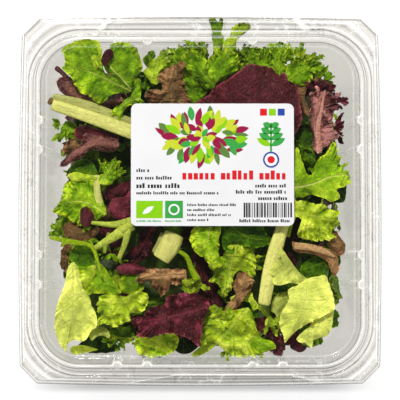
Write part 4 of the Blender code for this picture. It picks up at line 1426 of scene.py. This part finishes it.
MAROON_LEAVES = (
    # the large one behind the label
    drawn("plain", (62, 65), (30, 22, 29, 45, 28, 71), (15, 30, 2, 42, -3, 50, 3, 54, 8, 59.5, 15, 63.5,
        20, 67, 23, 69.5, 27, 71, 32, 70.5, 37, 70, 42, 68, 47, 65, 50.5, 62.5, 51.5, 59, 53, 54,
        53.5, 49, 54, 42, 51, 35, 46, 28), dome=4.0, tone=0.45),
    drawn("plain", (69, 68), (-50, 69, -47, 78.5), (-50.5, 69, -51.8, 72, -51, 75.5, -48.5, 78.3,
        -46.5, 78.3, -45.3, 76.5, -45.3, 74, -47, 72, -48.5, 70), dome=1.0, tone=0.0),
    # folded along its midrib, bottom
    drawn("curly", (66, 64), (5, -56.5, -10, -60.5, -24, -63.5, -35, -63.5), (5.5, -54.5, 3, -51, -1, -49,
        -6, -48.5, -12, -49, -17, -50.5, -19.5, -54, -25, -55, -27, -57.5, -31, -61, -35.5, -62.5,
        -34.5, -67, -33, -72, -27, -73.5, -20, -72, -14, -71.5, -8, -73, -4, -76, -1, -78, 1, -72,
        1.5, -65, 4, -58.5), dome=0.0, fold=0.35, tone=0.65),
    drawn("smooth", (50, 51), (-3, -28, 4, -42, 9, -60), (-5, -32, -4, -38, -1, -42, -5, -44, -2, -50,
        4, -54, 7, -60, 11, -58, 11.5, -52, 9.5, -46, 5.5, -42, 4.5, -36, 1, -30), tone=0.0),
    drawn("smooth", (62, 61), (-34, 5, -42, 5, -50, 4), (-35, 10, -40, 9, -45, 7.5, -49, 6.5, -50.5, 3,
        -49, -1, -44, 1, -38, 2), tone=0.25),
    drawn("smooth", (62, 62), (-33, -4, -40, -5, -47, -6), (-34, 5, -38, 4, -42, 1, -46, 0, -48, -4,
        -47, -9, -42, -11.5, -36, -11), dome=2.5, tone=0.9),
    drawn("plain", (66, 65), (-59, -15.5, -59.5, -4), (-62.5, -13, -63, -9, -62.5, -5.5, -59.5, -4,
        -57, -6, -55, -10, -56.5, -14), tone=0.55),
    drawn("smooth", (60, 60), (-28, -37, -36, -36.5, -44, -36.5), (-29, -36, -34, -34.5, -39, -34,
        -44, -36, -43.5, -38, -38, -40, -32, -39.5), tone=0.95),
    drawn("fringe", (57, 55), (32, -62, 38, -70, 45, -78), (29, -64, 30, -70, 33, -73, 38, -74, 41, -78,
        45, -80, 46, -76, 43, -71, 41, -66, 36, -62), tone=0.2),
    drawn("smooth", (54, 52), (46, -71, 54, -79), (44.5, -76, 44.5, -72, 50, -68, 54, -72, 57, -79,
        52, -81, 48, -79), tone=0.15),
    drawn("smooth", (52, 50), (40, -76, 43, -84), (38, -78, 39, -83, 43, -84.5, 44.5, -81, 43, -76),
        tone=0.8),
    drawn("smooth", (56, 57), (-38, 55, -52, 47), (-40, 57, -46, 56, -52, 52, -55, 47, -48, 44, -40, 46,
        -36, 50), tone=0.0),
    drawn("smooth", (62, 61), (-42, 31, -60, 37), (-44, 34, -50, 36, -56, 37.5, -62, 39, -66, 37, -66, 32,
        -58, 31, -48, 28), tone=0.5),
    drawn("curly", (58, 56), (-40, -22, -46, -31), (-38, -26, -42, -33, -48, -33, -50, -28, -48, -23,
        -43, -20), tone=0.1),
    drawn("curly", (54, 54), (-52, -15, -44, -19), (-54, -17, -52, -21, -46, -21, -42, -18, -43, -14,
        -49, -13), tone=0.0),
    drawn("curly", (60, 58), (-24, -14, -30, -24, -34, -34), (-22, -18, -25, -22, -24, -27, -28, -32,
        -33, -35.5, -38, -35, -40, -31, -37, -27, -33, -25, -34, -20, -30, -15), tone=0.2),
)

ROSE_LEAVES = (
    drawn("smooth", (61, 60), (-40, 52, -56, 51, -70, 58, -75, 63), (-42, 50, -50, 48, -56, 47.5, -62, 49,
        -68, 52, -72, 55, -75, 58, -76, 62, -74.5, 64.5, -71, 65.5, -68, 65, -66, 61, -64, 57, -60, 56,
        -54, 55, -44, 56), tone=0.2),
    drawn("plain", (60, 61), (-70, 64, -76.5, 70), (-71, 63, -74, 66, -77, 69, -76, 70.5, -73, 68.5,
        -69.5, 65), dome=0.5, tone=0.0),
    drawn("smooth", (66, 63), (-42, 28, -52, 29, -62, 26, -73.5, 16.5), (-43, 31, -47, 32, -52, 34,
        -55, 36.5, -60, 36.5, -62, 32, -64, 27.5, -68, 25, -72, 21, -74, 16.5, -70, 17, -66, 19.5,
        -61, 22.5, -58, 25, -52, 24.5, -46, 24, -42, 26), fold=-0.3, tone=0.35),
    drawn("fringe", (64, 62), (61.5, 23, 60, 38, 62, 50, 66, 61), (59, 26, 58.5, 30, 59, 34, 58, 38,
        57, 43, 57.5, 47, 58.5, 51, 56.5, 55, 60, 58.5, 62, 60, 64, 58, 67, 59, 68.5, 61, 70.5, 61,
        71, 58, 72.5, 57, 75.5, 57, 74, 53, 75, 49, 72, 48, 71.5, 44, 70.5, 41, 72, 38.5, 70, 36,
        74, 34.5, 73, 32, 70.5, 30, 69, 28, 66, 27, 64, 24), dome=3.0, tone=0.9),
)

BRONZE_LEAVES = (
    drawn("smooth", (66, 60), (48, -25, 58, -26.5, 68, -29.5, 72.5, -40), (48, -22.5, 54, -23.8,
        60, -24.3, 66, -25.8, 70.5, -28, 73, -32, 73, -39, 71, -41.5, 69, -38, 67, -33.5, 62, -30.5,
        56, -29, 51, -28.5, 48.5, -27), dome=1.5, tone=0.95),
    drawn("batavia", (60, 64), (-14, 47, -15, 58, -10, 72), (-21, 48, -26, 50, -29, 53, -29.5, 56.5,
        -27, 58, -24, 58.5, -20.5, 57, -21, 61, -22.5, 65, -20, 68, -16, 70.5, -13, 71.5, -10.5, 73,
        -7.5, 72.5, -8, 69, -8.5, 66, -7.5, 61, -6, 56, -4, 50, -8, 47), fold=0.15, tone=0.4),
    drawn("fringe", (62, 60), (-7, -40, -18, -40.5, -33, -42), (-8, -36, -14, -36, -20, -36, -26, -35.5,
        -30, -37.5, -34.5, -41, -33, -44.5, -28, -44, -25, -48, -21, -53, -17.5, -51, -17, -46, -12, -46,
        -7, -44), tone=0.95),
    drawn("smooth", (60, 60), (-52.5, -16, -62, -18, -72, -16), (-54, -14.5, -58, -16, -63, -15,
        -66, -12.5, -69, -12, -72.5, -15, -71.5, -19, -68, -21, -63, -22.5, -58, -23, -55, -20), tone=0.35),
    drawn("smooth", (60, 57), (68, -21, 73, -23, 76.5, -28), (69, -18, 72, -16.5, 74, -20, 77, -24,
        77, -28, 73.5, -30.5, 70, -27.5, 67, -24.5), dome=1.0, tone=0.6),
    drawn("smooth", (58, 60), (57, 44, 54, 52, 52, 62.5), (55, 46, 53, 52, 51.5, 57, 50.5, 63, 53.5, 63,
        57, 61.5, 56, 57, 55.5, 53, 57.5, 49, 58, 45), dome=0.5, tone=0.6),
    drawn("curly", (56, 58), (-64, 28, -73, 26), (-65, 31, -67, 33.5, -71, 31, -73.5, 26, -72.5, 23.5,
        -69, 24, -65, 26), tone=0.75),
    drawn("smooth", (52, 54), (-46, -6, -56, -7), (-46, -8, -50, -11, -56, -11, -57, -6, -54, -3, -49, -3),
        tone=0.2),
    drawn("curly", (54, 55), (-68, -24, -73, -34), (-68, -28, -69.5, -34, -71, -40, -74, -36, -74.5, -30,
        -73, -25, -70, -22), tone=0.4),
    drawn("oak", (61, 59), (28, -42, 23, -46, 18, -55, 13, -62), (27, -48, 24.5, -51, 22.5, -55, 20, -58,
        18, -61, 14.5, -63.5, 11.5, -61, 13, -57, 16, -53, 18, -50, 17, -46, 17.5, -41.5, 20.5, -38,
        24, -38.5, 27.5, -42, 29.5, -45), tone=0.85),
)

TOP_LEAVES = {
    "green_leaves": GREEN_LEAVES,
    "lime_leaves": LIME_LEAVES,
    "pale_leaves": PALE_LEAVES,
    "frisee_leaves": FRISEE_LEAVES,
    "dark_leaves": DARK_LEAVES,
    "maroon_leaves": MAROON_LEAVES,
    "rose_leaves": ROSE_LEAVES,
    "bronze_leaves": BRONZE_LEAVES,
}

# Stems on top: name of the piece, path and radii in millimetres, how flat they are, and how bright. The
# path holds x, y and z of each point.
TOP_STEMS = (
    ("stems", ((-76, 51, 64), (-58, 47, 65), (-36, 38.5, 65), (-20, 34, 64)),
     (3.3, 3.2, 3.0, 2.6), 0.6, -0.15),
    ("stems", ((-76, 48, 66), (-58, 42, 67), (-36, 34, 67), (-20, 28, 66)), (2.9, 3.2, 3.6, 3.0), 0.6, 0.3),
    ("stems", ((43, -12, 65), (38.5, -26, 66), (35.2, -39, 66.5), (32.5, -54.5, 65.5)),
     (3.0, 3.6, 3.6, 3.1), 0.5, 0.5),
    ("lime_leaves", ((-34, -11.5, 66), (-44, -13.5, 67), (-56, -12.5, 66)), (2.4, 1.6, 0.9), 0.6, 0.55),
    ("lime_leaves", ((-35, -13, 66), (-44, -19.5, 67), (-54, -25.5, 66)), (3.2, 2.3, 1.2), 0.6, 0.7),
    ("lime_leaves", ((-37, -14, 66), (-38, -22, 67), (-41.5, -31, 65)), (2.4, 1.6, 1.1), 0.6, 0.5),
    ("lime_leaves", ((-46, -18, 67), (-48, -23, 66.5), (-49, -28, 65)), (1.4, 1.1, 0.8), 0.6, 0.4),
    ("stems", ((-13.5, -18, 64), (-16, -24, 65), (-20.5, -31, 64)), (4.9, 5.2, 4.4), 0.45, 0.5),
    ("stems", ((-18.5, -18, 63), (-20, -23, 64), (-23.5, -28, 63)), (2.0, 2.4, 1.6), 0.6, -0.1),
    ("frisee_leaves", ((-11, -27, 64), (-7, -30, 64), (-4.5, -36, 63), (-1.5, -42, 62)),
     (0.9, 1.2, 1.4, 2.0), 0.7, 0.5),
    ("frisee_leaves", ((-77, -20, 64), (-66, -22.5, 66), (-56, -24.5, 66), (-52.5, -32, 66), (-50, -41, 65)),
     (0.9, 1.3, 1.0, 0.8, 0.6), 0.6, 0.5),
    ("stems", ((-53, 12, 62), (-53, 4, 63), (-51.5, -3, 63), (-49, -9, 62)),
     (1.9, 1.8, 1.8, 1.4), 0.6, 0.3),
    # pale stalks of a brown leaf and of a dull red one
    ("bronze_leaves", ((48, -24.5, 67.5), (55, -25.2, 67), (63, -27.2, 66), (69, -30, 63)),
     (1.7, 1.7, 1.4, 0.6), 0.6, 1.2),
    ("rose_leaves", ((61.5, 24, 66), (60.5, 36, 67), (62.5, 46, 66.5), (64, 55, 65)),
     (1.5, 1.4, 0.9, 0.5), 0.6, 0.9),
    # a brown cut end
    ("bronze_leaves", ((-78, 50.5, 65), (-77, 50, 65), (-76.2, 49.5, 65)), (1.5, 2.0, 1.9), 0.8, 0.3),
)

# Tufts of finely cut leaves on top: middle and height, reach, direction and spread in degrees, number of
# leaves, and how bright they are
TUFTS = {
    "frisee_leaves": (
        (-4, 66, 60, 15, 110, 150, 12, 0.55), (6, 60, 60, 16, 90, 120, 12, 0.5),
        (14, 66, 61, 14, 60, 150, 10, 0.6), (-4, 56, 57, 10, 180, 200, 8, 0.2),
        (24, 70, 60, 11, 100, 160, 9, 0.3), (34, 70, 60, 10, 70, 120, 8, 0.45),
        (42, 70, 61, 12, 80, 80, 8, 0.7), (52, 66, 61, 12, 60, 150, 10, 0.6),
        (62, 62, 58, 9, 30, 150, 7, 0.4), (-70, 36, 60, 7, 180, 260, 7, 0.6),
        (-48, 12, 63, 9, 60, 120, 7, 0.8), (-74, -16, 58, 6, 200, 200, 5, 0.4),
        (-24, -76, 50, 11, 260, 200, 10, 0.5), (-42, -72, 52, 8, 240, 200, 6, 0.4),
        (50, 24, 58, 8, 90, 200, 5, 0.4), (-56, -12.5, 65, 4, 170, 160, 4, 0.9),
        (-54, -25.5, 65, 4, 200, 180, 4, 0.9), (-41.5, -31, 64, 4, 270, 180, 4, 0.9),
        (-50, -29, 64, 3, 260, 180, 3, 0.9), (-52, -22, 63, 7, 240, 200, 6, 0.7),
        (-46, -28, 62, 6, 300, 200, 5, 0.6), (-56, -12, 63, 6, 170, 160, 5, 0.7),
    ),
    "lime_leaves": (
        (36, -62, 60, 8, 300, 160, 7, 0.5), (18, -60, 62, 8, 200, 160, 7, 0.5),
        (-2, -44, 60, 7, 250, 200, 5, 0.5), (24, -32, 62, 8, 330, 200, 5, 0.4),
        (2, 74, 62, 9, 130, 120, 5, 0.3), (52, 70, 63, 8, 60, 120, 5, 0.4), (4, -70, 60, 7, 200, 160, 6, 0.4),
        (14, -78, 58, 6, 260, 140, 6, 0.4), (28, -76, 58, 6, 300, 140, 5, 0.4),
    ),
    "maroon_leaves": (
        (62, 56, 64, 8, 80, 160, 8, 0.3), (70, 50, 64, 7, 20, 160, 7, 0.3), (69, 36, 63, 7, 0, 140, 6, 0.3),
        (40, -72, 58, 8, 300, 200, 7, 0.4), (22, -60, 58, 7, 200, 200, 6, 0.2),
    ),
}


def tuft_leaves(rng):
    """The leaves of the tufts, which fan out from the tufts' middles, as (name of the piece, leaf)."""
    for piece, tufts in TUFTS.items():
        cut = "fringe" if piece == "maroon_leaves" else "frisee"
        for x, y, z, reach, heading, spread, count, tone in tufts:
            for k in range(count):
                turn = math.radians(heading + spread * ((k + rng.uniform(0.1, 0.9)) / count - 0.5))
                out = Vector((math.cos(turn), math.sin(turn), 0))
                start = Vector((x, y, z + rng.uniform(-4, 1))) + out * reach * rng.uniform(-0.1, 0.45)
                tip = start + out * reach * rng.uniform(0.55, 0.95) + Vector((0, 0, rng.uniform(-3, 5)))
                yield piece, Leaf(cut, tuple(start), tuple(tip), reach * rng.uniform(0.42, 0.62),
                                  rng.uniform(-50, 50), rng.uniform(-1.1, 0.5), rng.uniform(-1.2, 0.8),
                                  rng.uniform(-0.2, 0.4), tone=tone + rng.uniform(-0.35, 0.3))


# colour of veins, and of the painted highlights on the crests and margins of green leaves
VEIN_AND_HIGHLIGHT = linear(196, 220, 60)
PALE_RIB = linear(226, 238, 108)
TAN = linear(206, 170, 116)


def leaf_looks(leaves):
    """How each kind of leaf looks, by the name of its piece."""

    def mixed(first, second):
        return tuple((a + b) / 2 for a, b in zip(first, second))

    names = ("green", "lime", "pale", "dark", "maroon", "rose", "bronze", "stem")
    green, lime, pale, dark, maroon, rose, bronze, stem = (tuple(getattr(leaves, name)) for name in names)
    return {
        "green_leaves": LeafLook(
            green, lime, stem, times(green, 0.36), VEIN_AND_HIGHLIGHT, 0.20, 0.8, 0.34, 0.12),
        "lime_leaves": LeafLook(
            lime, times(lime, 1.1), PALE_RIB, times(green, 0.85), pale, 0.18, 0.8, 0.36, 0.14),
        "pale_leaves": LeafLook(
            pale, times(pale, 1.06), stem, times(mixed(pale, lime), 0.84), stem, 0.26, 0.4, 0.38, 0.10),
        "frisee_leaves": LeafLook(
            green, lime, lime, times(dark, 0.7), VEIN_AND_HIGHLIGHT, 0.12, 0.8, 0.34, 0.12),
        "dark_leaves": LeafLook(
            dark, times(dark, 1.5), lime, times(dark, 0.5), green, 0.18, 0.7, 0.30, 0.10),
        "maroon_leaves": LeafLook(
            maroon, times(maroon, 0.8), linear(174, 78, 90), times(maroon, 0.42), linear(176, 80, 92),
            0.14, 0.9, 0.30, 0.06, 0.92, 0.34),
        "rose_leaves": LeafLook(
            rose, times(maroon, 0.7), linear(216, 160, 140), times(maroon, 0.9), linear(222, 166, 152),
            0.22, 0.9, 0.34, 0.06, 0.50, 0.30),
        "bronze_leaves": LeafLook(
            bronze, mixed(bronze, maroon), TAN, times(bronze, 0.42), TAN, 0.22, 0.9, 0.34, 0.08, 0.60, 0.24),
        "stems": LeafLook(stem, stem, stem, linear(150, 158, 60), stem, 0.2, 0.4, 0.36, 0.05, 0.92, 0.24),
    }


# LEAVES: THE ONES UNDER AND AROUND THEM

# Kinds of the leaves further in: name of the piece, cut, and how often it comes
FILL_KINDS = (
    ("green_leaves", "batavia", 8), ("green_leaves", "curly", 5), ("lime_leaves", "curly", 4),
    ("frisee_leaves", "frisee", 4), ("dark_leaves", "smooth", 4), ("maroon_leaves", "smooth", 4),
    ("rose_leaves", "oak", 2), ("bronze_leaves", "batavia", 2),
)


def leaf_round(cut, middle, step, width, *bends, tone=None):
    """A leaf from middle - step to middle + step; bends are its roll, bend, cup and fold."""
    return Leaf(cut, tuple(middle - step), tuple(middle + step), width, *bends, tone=tone)


def fill_kind(rng):
    weights = [weight for _, _, weight in FILL_KINDS]
    piece, cut, _ = rng.choices(FILL_KINDS, weights)[0]
    return piece, cut


def wall_place(shell, share, inset, z, corner=0.17):
    """A place round the inside of the wall, share of the way round. corner is how far it keeps out of the
    corners."""
    size = LID_BOX[1] - LID_BOX[0]
    half_x = size.x / 2 - inset
    half_y = (size.y - shell.back_grip) / 2 - inset
    side = share % 1 * 4
    ahead = 2 * (side % 1) - 1
    x, y = ((1, ahead), (-ahead, 1), (-1, -ahead), (ahead, -1))[int(side)]
    pull = 1 - corner * ahead**4
    return Vector((half_x * x * pull, half_y * y * pull - shell.back_grip / 2, z))


# Rows of leaves along the wall: height, size and distance from it, in millimetres, and how far they keep out
# of the corners
WALL_ROWS = ((14, 22, 0.0, 0.17), (28, 24, 0.5, 0.30), (40, 21, 4.5, 0.34), (49, 16, 9.0, 0.38))


def wall_leaves(shell, leaves, rng):
    """Leaves that lie against the tray's wall, in rows from the floor up."""
    for z, size, off_wall, corner in WALL_ROWS:
        inset = shell.mouth_inset / MM + 9.0 - 2.0 * z / 58.0 + off_wall
        for k in range(leaves.wall_leaves):
            share = (k + rng.uniform(-0.35, 0.35)) / leaves.wall_leaves
            here = wall_place(shell, share, (inset + rng.uniform(2.0, 5.5)) * MM, 0, corner) / MM
            ahead = wall_place(shell, share + 0.01, (inset + 3.5) * MM, 0, corner) / MM
            along = (ahead - here).normalized()
            turn = rng.uniform(0, 2 * math.pi)
            length = size * rng.uniform(0.8, 1.35)
            step = (along * math.cos(turn) + Vector((0, 0, math.sin(turn)))) * length / 2
            middle = Vector((here.x, here.y, z + rng.uniform(-5, 5)))
            piece, cut = fill_kind(rng)
            outward = Vector((here.x, here.y, 0)).normalized()
            start, tip = middle - step, middle + step
            forward = (tip - start).normalized()
            side = forward.cross(Vector((0, 0, 1))).normalized()
            normal = side.cross(forward)
            roll = math.degrees(math.atan2(outward.dot(side), outward.dot(normal)))
            yield piece, Leaf(cut, tuple(start), tuple(tip), length * rng.uniform(0.65, 0.95),
                              -roll + rng.uniform(-20, 20), rng.uniform(-0.5, 0.3), rng.uniform(-0.6, 0.3))


# Leaves on the floor, leaves under the top ones and small bits between them, in millimetres
FLOOR_STEP = 29  # from one leaf of a row to the next
UNDER_COUNT, UNDER_STEP = 6, (24, 25)
UNDER_MIDDLE = -1.5  # of the tray's wall, which is nearer the front than the rim's middle
STRAY = 6  # how far a leaf of a row may lie from its place
UNDER_REACH, BIT_REACH = 104, 118  # how far x and y together may reach into a corner
BIT_COUNT = 70


def row_place(number, count, step, rng, middle=0.0):
    """Where a leaf lies along a row of count leaves."""
    return (number - (count - 1) / 2) * step + middle + rng.uniform(-STRAY, STRAY)


def floor_leaves(leaves, rng):
    """Leaves that lie on the tray's floor, seen from below."""
    count = leaves.floor_leaves
    for i in range(count):
        for j in range(count):
            x = row_place(i, count, FLOOR_STEP, rng)
            y = row_place(j, count, FLOOR_STEP, rng)
            turn = rng.uniform(0, 2 * math.pi)
            step = Vector((math.cos(turn), math.sin(turn), 0)) * rng.uniform(15, 20)
            middle = Vector((x, y, rng.uniform(4, 8)))
            piece, cut = fill_kind(rng)
            yield piece, leaf_round(
                cut, middle, step, rng.uniform(24, 34), 180 + rng.uniform(-15, 15), rng.uniform(-0.4, 0.4),
                rng.uniform(-0.4, 0.4),
            )


def out_of_corner(x, y, z, reach):
    """The place x, y, z, drawn towards the middle where x and y together reach too far into a corner."""
    share = min(1.0, reach / (abs(x) + abs(y)))
    return Vector((x * share, y * share, z))


def under_leaves(rng):
    """Leaves under the ones on top, with a darker tone as painted shade, which show darkly between them."""
    for i in range(UNDER_COUNT):
        for j in range(UNDER_COUNT):
            x = row_place(i, UNDER_COUNT, UNDER_STEP[0], rng)
            y = row_place(j, UNDER_COUNT, UNDER_STEP[1], rng, UNDER_MIDDLE)
            turn = rng.uniform(0, 2 * math.pi)
            step = Vector((math.cos(turn), math.sin(turn), rng.uniform(-0.25, 0.25))) * rng.uniform(12, 17)
            middle = out_of_corner(x, y, rng.uniform(36, 47), UNDER_REACH)
            piece, cut = fill_kind(rng)
            # painted shade: these leaves get a darker tone than those on top
            yield piece, leaf_round(
                cut, middle, step, rng.uniform(20, 28), rng.uniform(-25, 25), rng.uniform(-0.7, 0.2),
                rng.uniform(-0.5, 0.5), tone=rng.uniform(-0.5, -0.1),
            )


def loose_bits(rng):
    """Small pieces of leaf that fill the gaps just under the top."""
    for _ in range(BIT_COUNT):
        x, y = rng.uniform(-68, 68), rng.uniform(-74, 70)
        turn = rng.uniform(0, 2 * math.pi)
        step = Vector((math.cos(turn), math.sin(turn), rng.uniform(-0.5, 0.5))) * rng.uniform(4.5, 8)
        middle = out_of_corner(x, y, rng.uniform(47, 57), BIT_REACH)
        piece, _ = fill_kind(rng)
        cut = rng.choice(("frisee", "curly", "fringe", "oak"))
        yield piece, leaf_round(
            cut, middle, step, rng.uniform(8, 13), rng.uniform(-50, 50), rng.uniform(-1.0, 0.6),
            rng.uniform(-1.0, 1.0), tone=rng.uniform(-0.25, 0.5),
        )


# Of the core: how far it stays inside the heap's sides, its top and its bottom
CORE_INSET = 11.0 * MM
CORE_TOP_DROP = 24.0 * MM
CORE_LIFT = 4.0 * MM


class SALADTRAY_OT_heap_core(bpy.types.Operator):
    """Make the core of the heap, dark with painted shade, smaller than the heap itself"""

    bl_idname = "salad_tray.heap_core"
    bl_label = "Heap core"

    def execute(self, context):
        leaves = settings(context, "leaves")
        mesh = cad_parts["salad_heap"].data.copy()
        mesh.name = "heap_core"
        mesh.materials.clear()
        low, high = HEAP_BOX
        middle = (low + high) / 2
        size = (high - low) / 2
        shrink = [(s - CORE_INSET) / s for s in size.xy]
        rise = (high.z - CORE_TOP_DROP - low.z - CORE_LIFT) / (high.z - low.z)
        for vert in mesh.vertices:
            vert.co.x = middle.x + (vert.co.x - middle.x) * shrink[0]
            vert.co.y = middle.y + (vert.co.y - middle.y) * shrink[1]
            vert.co.z = low.z + CORE_LIFT + (vert.co.z - low.z) * rise
        material = shade_core_material("packed_leaves", tuple(leaves.green))
        piece = new_piece("heap_core", mesh, material)
        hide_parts("salad_heap")
        return {"FINISHED"}


class SALADTRAY_OT_leaves(bpy.types.Operator):
    """Make the leaves and stems, one piece for each kind"""

    bl_idname = "salad_tray.leaves"
    bl_label = "Leaves"

    def execute(self, context):
        shell = settings(context, "shell")
        leaves = settings(context, "leaves")
        looks = leaf_looks(leaves)
        piles = {name: LeafPile(shell) for name in looks}
        for name, top in TOP_LEAVES.items():
            for number, leaf in enumerate(top):
                piles[name].add_leaf(leaf, random.Random(f"{name} {number}"))
        for number, (name, path, radii, flatness, tone) in enumerate(TOP_STEMS):
            piles[name].add_stem(path, radii, flatness, tone, random.Random(f"stem {number}"))
        rng = random.Random(leaves.seed)
        for name, leaf in tuft_leaves(rng):
            piles[name].add_leaf(leaf, rng, detail=TUFT_DETAIL)
        for name, leaf in loose_bits(rng):
            piles[name].add_leaf(leaf, rng, detail=BIT_DETAIL)
        fillers = (wall_leaves(shell, leaves, rng), floor_leaves(leaves, rng), under_leaves(rng))
        for filler in fillers:
            for name, leaf in filler:
                piles[name].add_leaf(leaf, rng, detail=FILL_DETAIL)
        for name, pile in piles.items():
            pile.make(name, leaf_material(name + "_skin", looks[name]))
        return {"FINISHED"}


# STAGE

VIEW_DISTANCE = 0.800
VIEW_TILT = 3.3  # degrees from straight down, towards the front
VIEW_WIDTH = 0.2069  # of the frame, at the height of the rim
VIEW_TARGET = (0.0, -0.0005)
ROOM_LIGHT = 0.34
DARK_LIGHT = 0.02  # of the sky straight up, which the lid's panel would mirror
DARK_SKY = (11, 32)  # how far from straight up that ends, in degrees
FLOOR_GLOW = 0.90
SHADOW = 0.10  # painted shadow: share of light that the floor lacks under the pack
FRONT_SHADOW = 0.33  # painted shadow: what it lacks besides, towards the pack's front

# Soft lights: name, tilt from straight up towards the right and the back (degrees), distance, size (metres)
# and power (watts)
LIGHTS = (
    ("key_light", -10.0, 34.0, 2.2, 0.30, 40.0),
    ("left_light", -58.0, 5.0, 1.0, 0.30, 0.6),
    ("right_light", 58.0, 5.0, 1.0, 0.30, 0.6),
    ("front_light", 4.0, -58.0, 1.0, 0.30, 0.6),
    ("back_light", -4.0, 60.0, 1.0, 0.30, 0.6),
)


def floor_material(name):
    """A pale floor, lit evenly, with a soft shadow painted under the pack."""
    nodes = Nodes(name)
    x, y, _ = nodes.parts(nodes.place())
    x = nodes.math("ABSOLUTE", x)

    def fade(value, low, high):
        return nodes.smooth(value, low * MM, high * MM)

    # painted shadow: a little under the whole pack, and more towards its front
    sides = nodes.times(fade(x, 103.0, 84.0), fade(y, 107.0, 88.0))
    deeper = nodes.times(fade(x, 96.0, 62.0), fade(y, -79.0, -100.5))
    shadow = nodes.math("MULTIPLY_ADD", sides, SHADOW, nodes.times(deeper, FRONT_SHADOW))
    lit = nodes.math("SUBTRACT", 1.0, nodes.times(shadow, fade(y, -104.6, -100.2)))
    cloud = nodes.noise(nodes.place(), 3.0, 1.0)
    shade = nodes.mix(cloud, (0.15, 0.15, 0.15), (0.17, 0.17, 0.17))
    glow = {"Emission Color": (1.0, 1.0, 1.0), "Emission Strength": nodes.times(lit, FLOOR_GLOW)}
    return nodes.finish(nodes.surface(nodes.mix(lit, (0.0, 0.0, 0.0), shade), 0.9, 0.1, **glow))


class SALADTRAY_OT_stage(bpy.types.Operator):
    """Make the pale floor, the soft lights and the camera"""

    bl_idname = "salad_tray.stage"
    bl_label = "Stage"

    def execute(self, context):
        scene = context.scene
        scene.view_settings.view_transform = "Standard"
        bpy.ops.mesh.primitive_plane_add(size=20.0, location=(0, 0, -0.0003))
        floor = context.object
        floor.name = "floor"
        floor.data.materials.append(floor_material("pale_floor"))
        floor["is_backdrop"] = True

        world = bpy.data.worlds.new("soft_room")
        scene.world = world
        world.use_nodes = True
        tree = world.node_tree
        height = tree.nodes.new("ShaderNodeSeparateXYZ")
        tree.links.new(tree.nodes.new("ShaderNodeTexCoord").outputs["Generated"], height.inputs[0])
        open_sky = tree.nodes.new("ShaderNodeMapRange")
        open_sky.interpolation_type = "SMOOTHSTEP"
        for end, angle, light in zip(("Min", "Max"), DARK_SKY, (DARK_LIGHT, ROOM_LIGHT)):
            open_sky.inputs["From " + end].default_value = math.cos(math.radians(angle))
            open_sky.inputs["To " + end].default_value = light
        tree.links.new(height.outputs["Z"], open_sky.inputs["Value"])
        tree.links.new(open_sky.outputs["Result"], tree.nodes["Background"].inputs["Strength"])
        tree.nodes["Background"].inputs["Color"].default_value = (1.0, 1.0, 1.0, 1.0)

        for name, tilt_x, tilt_y, distance, size, power in LIGHTS:
            data = bpy.data.lights.new(name, "AREA")
            data.size = size
            data.energy = power
            light = bpy.data.objects.new(name, data)
            place = Vector((math.tan(math.radians(tilt_x)), math.tan(math.radians(tilt_y)), 1.0)).normalized()
            light.location = place * distance
            light.rotation_euler = place.to_track_quat("Z", "Y").to_euler()
            scene.collection.objects.link(light)

        camera_data = bpy.data.cameras.new("camera")
        camera_data.sensor_width = 36.0
        camera_data.lens = 36.0 * VIEW_DISTANCE / VIEW_WIDTH
        camera = bpy.data.objects.new("camera", camera_data)
        tilt = math.radians(VIEW_TILT)
        target = Vector((*VIEW_TARGET, TRAY_BOX[1].z))
        back = Vector((0, -math.sin(tilt), math.cos(tilt)))
        camera.location = target + back * VIEW_DISTANCE
        camera.rotation_euler = (tilt, 0, 0)
        scene.collection.objects.link(camera)
        scene.camera = camera
        return {"FINISHED"}


STEPS = (
    SALADTRAY_OT_stage,
    SALADTRAY_OT_clear_tray,
    SALADTRAY_OT_clear_lid,
    SALADTRAY_OT_label,
    SALADTRAY_OT_heap_core,
    SALADTRAY_OT_leaves,
)


class SALADTRAY_PT_pieces(bpy.types.Panel):
    """Lists the pieces of the tray of salad leaves"""

    bl_label = "Salad tray"
    bl_idname = "SALADTRAY_PT_pieces"
    bl_space_type = "VIEW_3D"
    bl_region_type = "UI"
    bl_category = "Salad tray"

    def draw(self, context):
        for step in STEPS:
            self.layout.operator(step.bl_idname)
        for group in GROUPS:
            for key in GROUPS[group].__annotations__:
                self.layout.prop(settings(context, group), key)


GROUPS = {"shell": SaladTrayShell, "label": SaladTrayLabel, "leaves": SaladTrayLeaves}


def register():
    for group, kind in GROUPS.items():
        bpy.utils.register_class(kind)
        setattr(bpy.types.Scene, "salad_tray_" + group, PointerProperty(type=kind))
    for kind in (*STEPS, SALADTRAY_PT_pieces):
        bpy.utils.register_class(kind)


def unregister():
    for kind in (SALADTRAY_PT_pieces, *reversed(STEPS)):
        bpy.utils.unregister_class(kind)
    for group, kind in GROUPS.items():
        delattr(bpy.types.Scene, "salad_tray_" + group)
        bpy.utils.unregister_class(kind)


def main():
    register()
    for step in STEPS:
        module, name = step.bl_idname.split(".")
        getattr(getattr(bpy.ops, module), name)()
    boxes = {"cad": CAD_BOX, "visual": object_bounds()}
    {name: [list(corner) for corner in box] for name, box in boxes.items()}


if __name__ == "__main__":
    main()
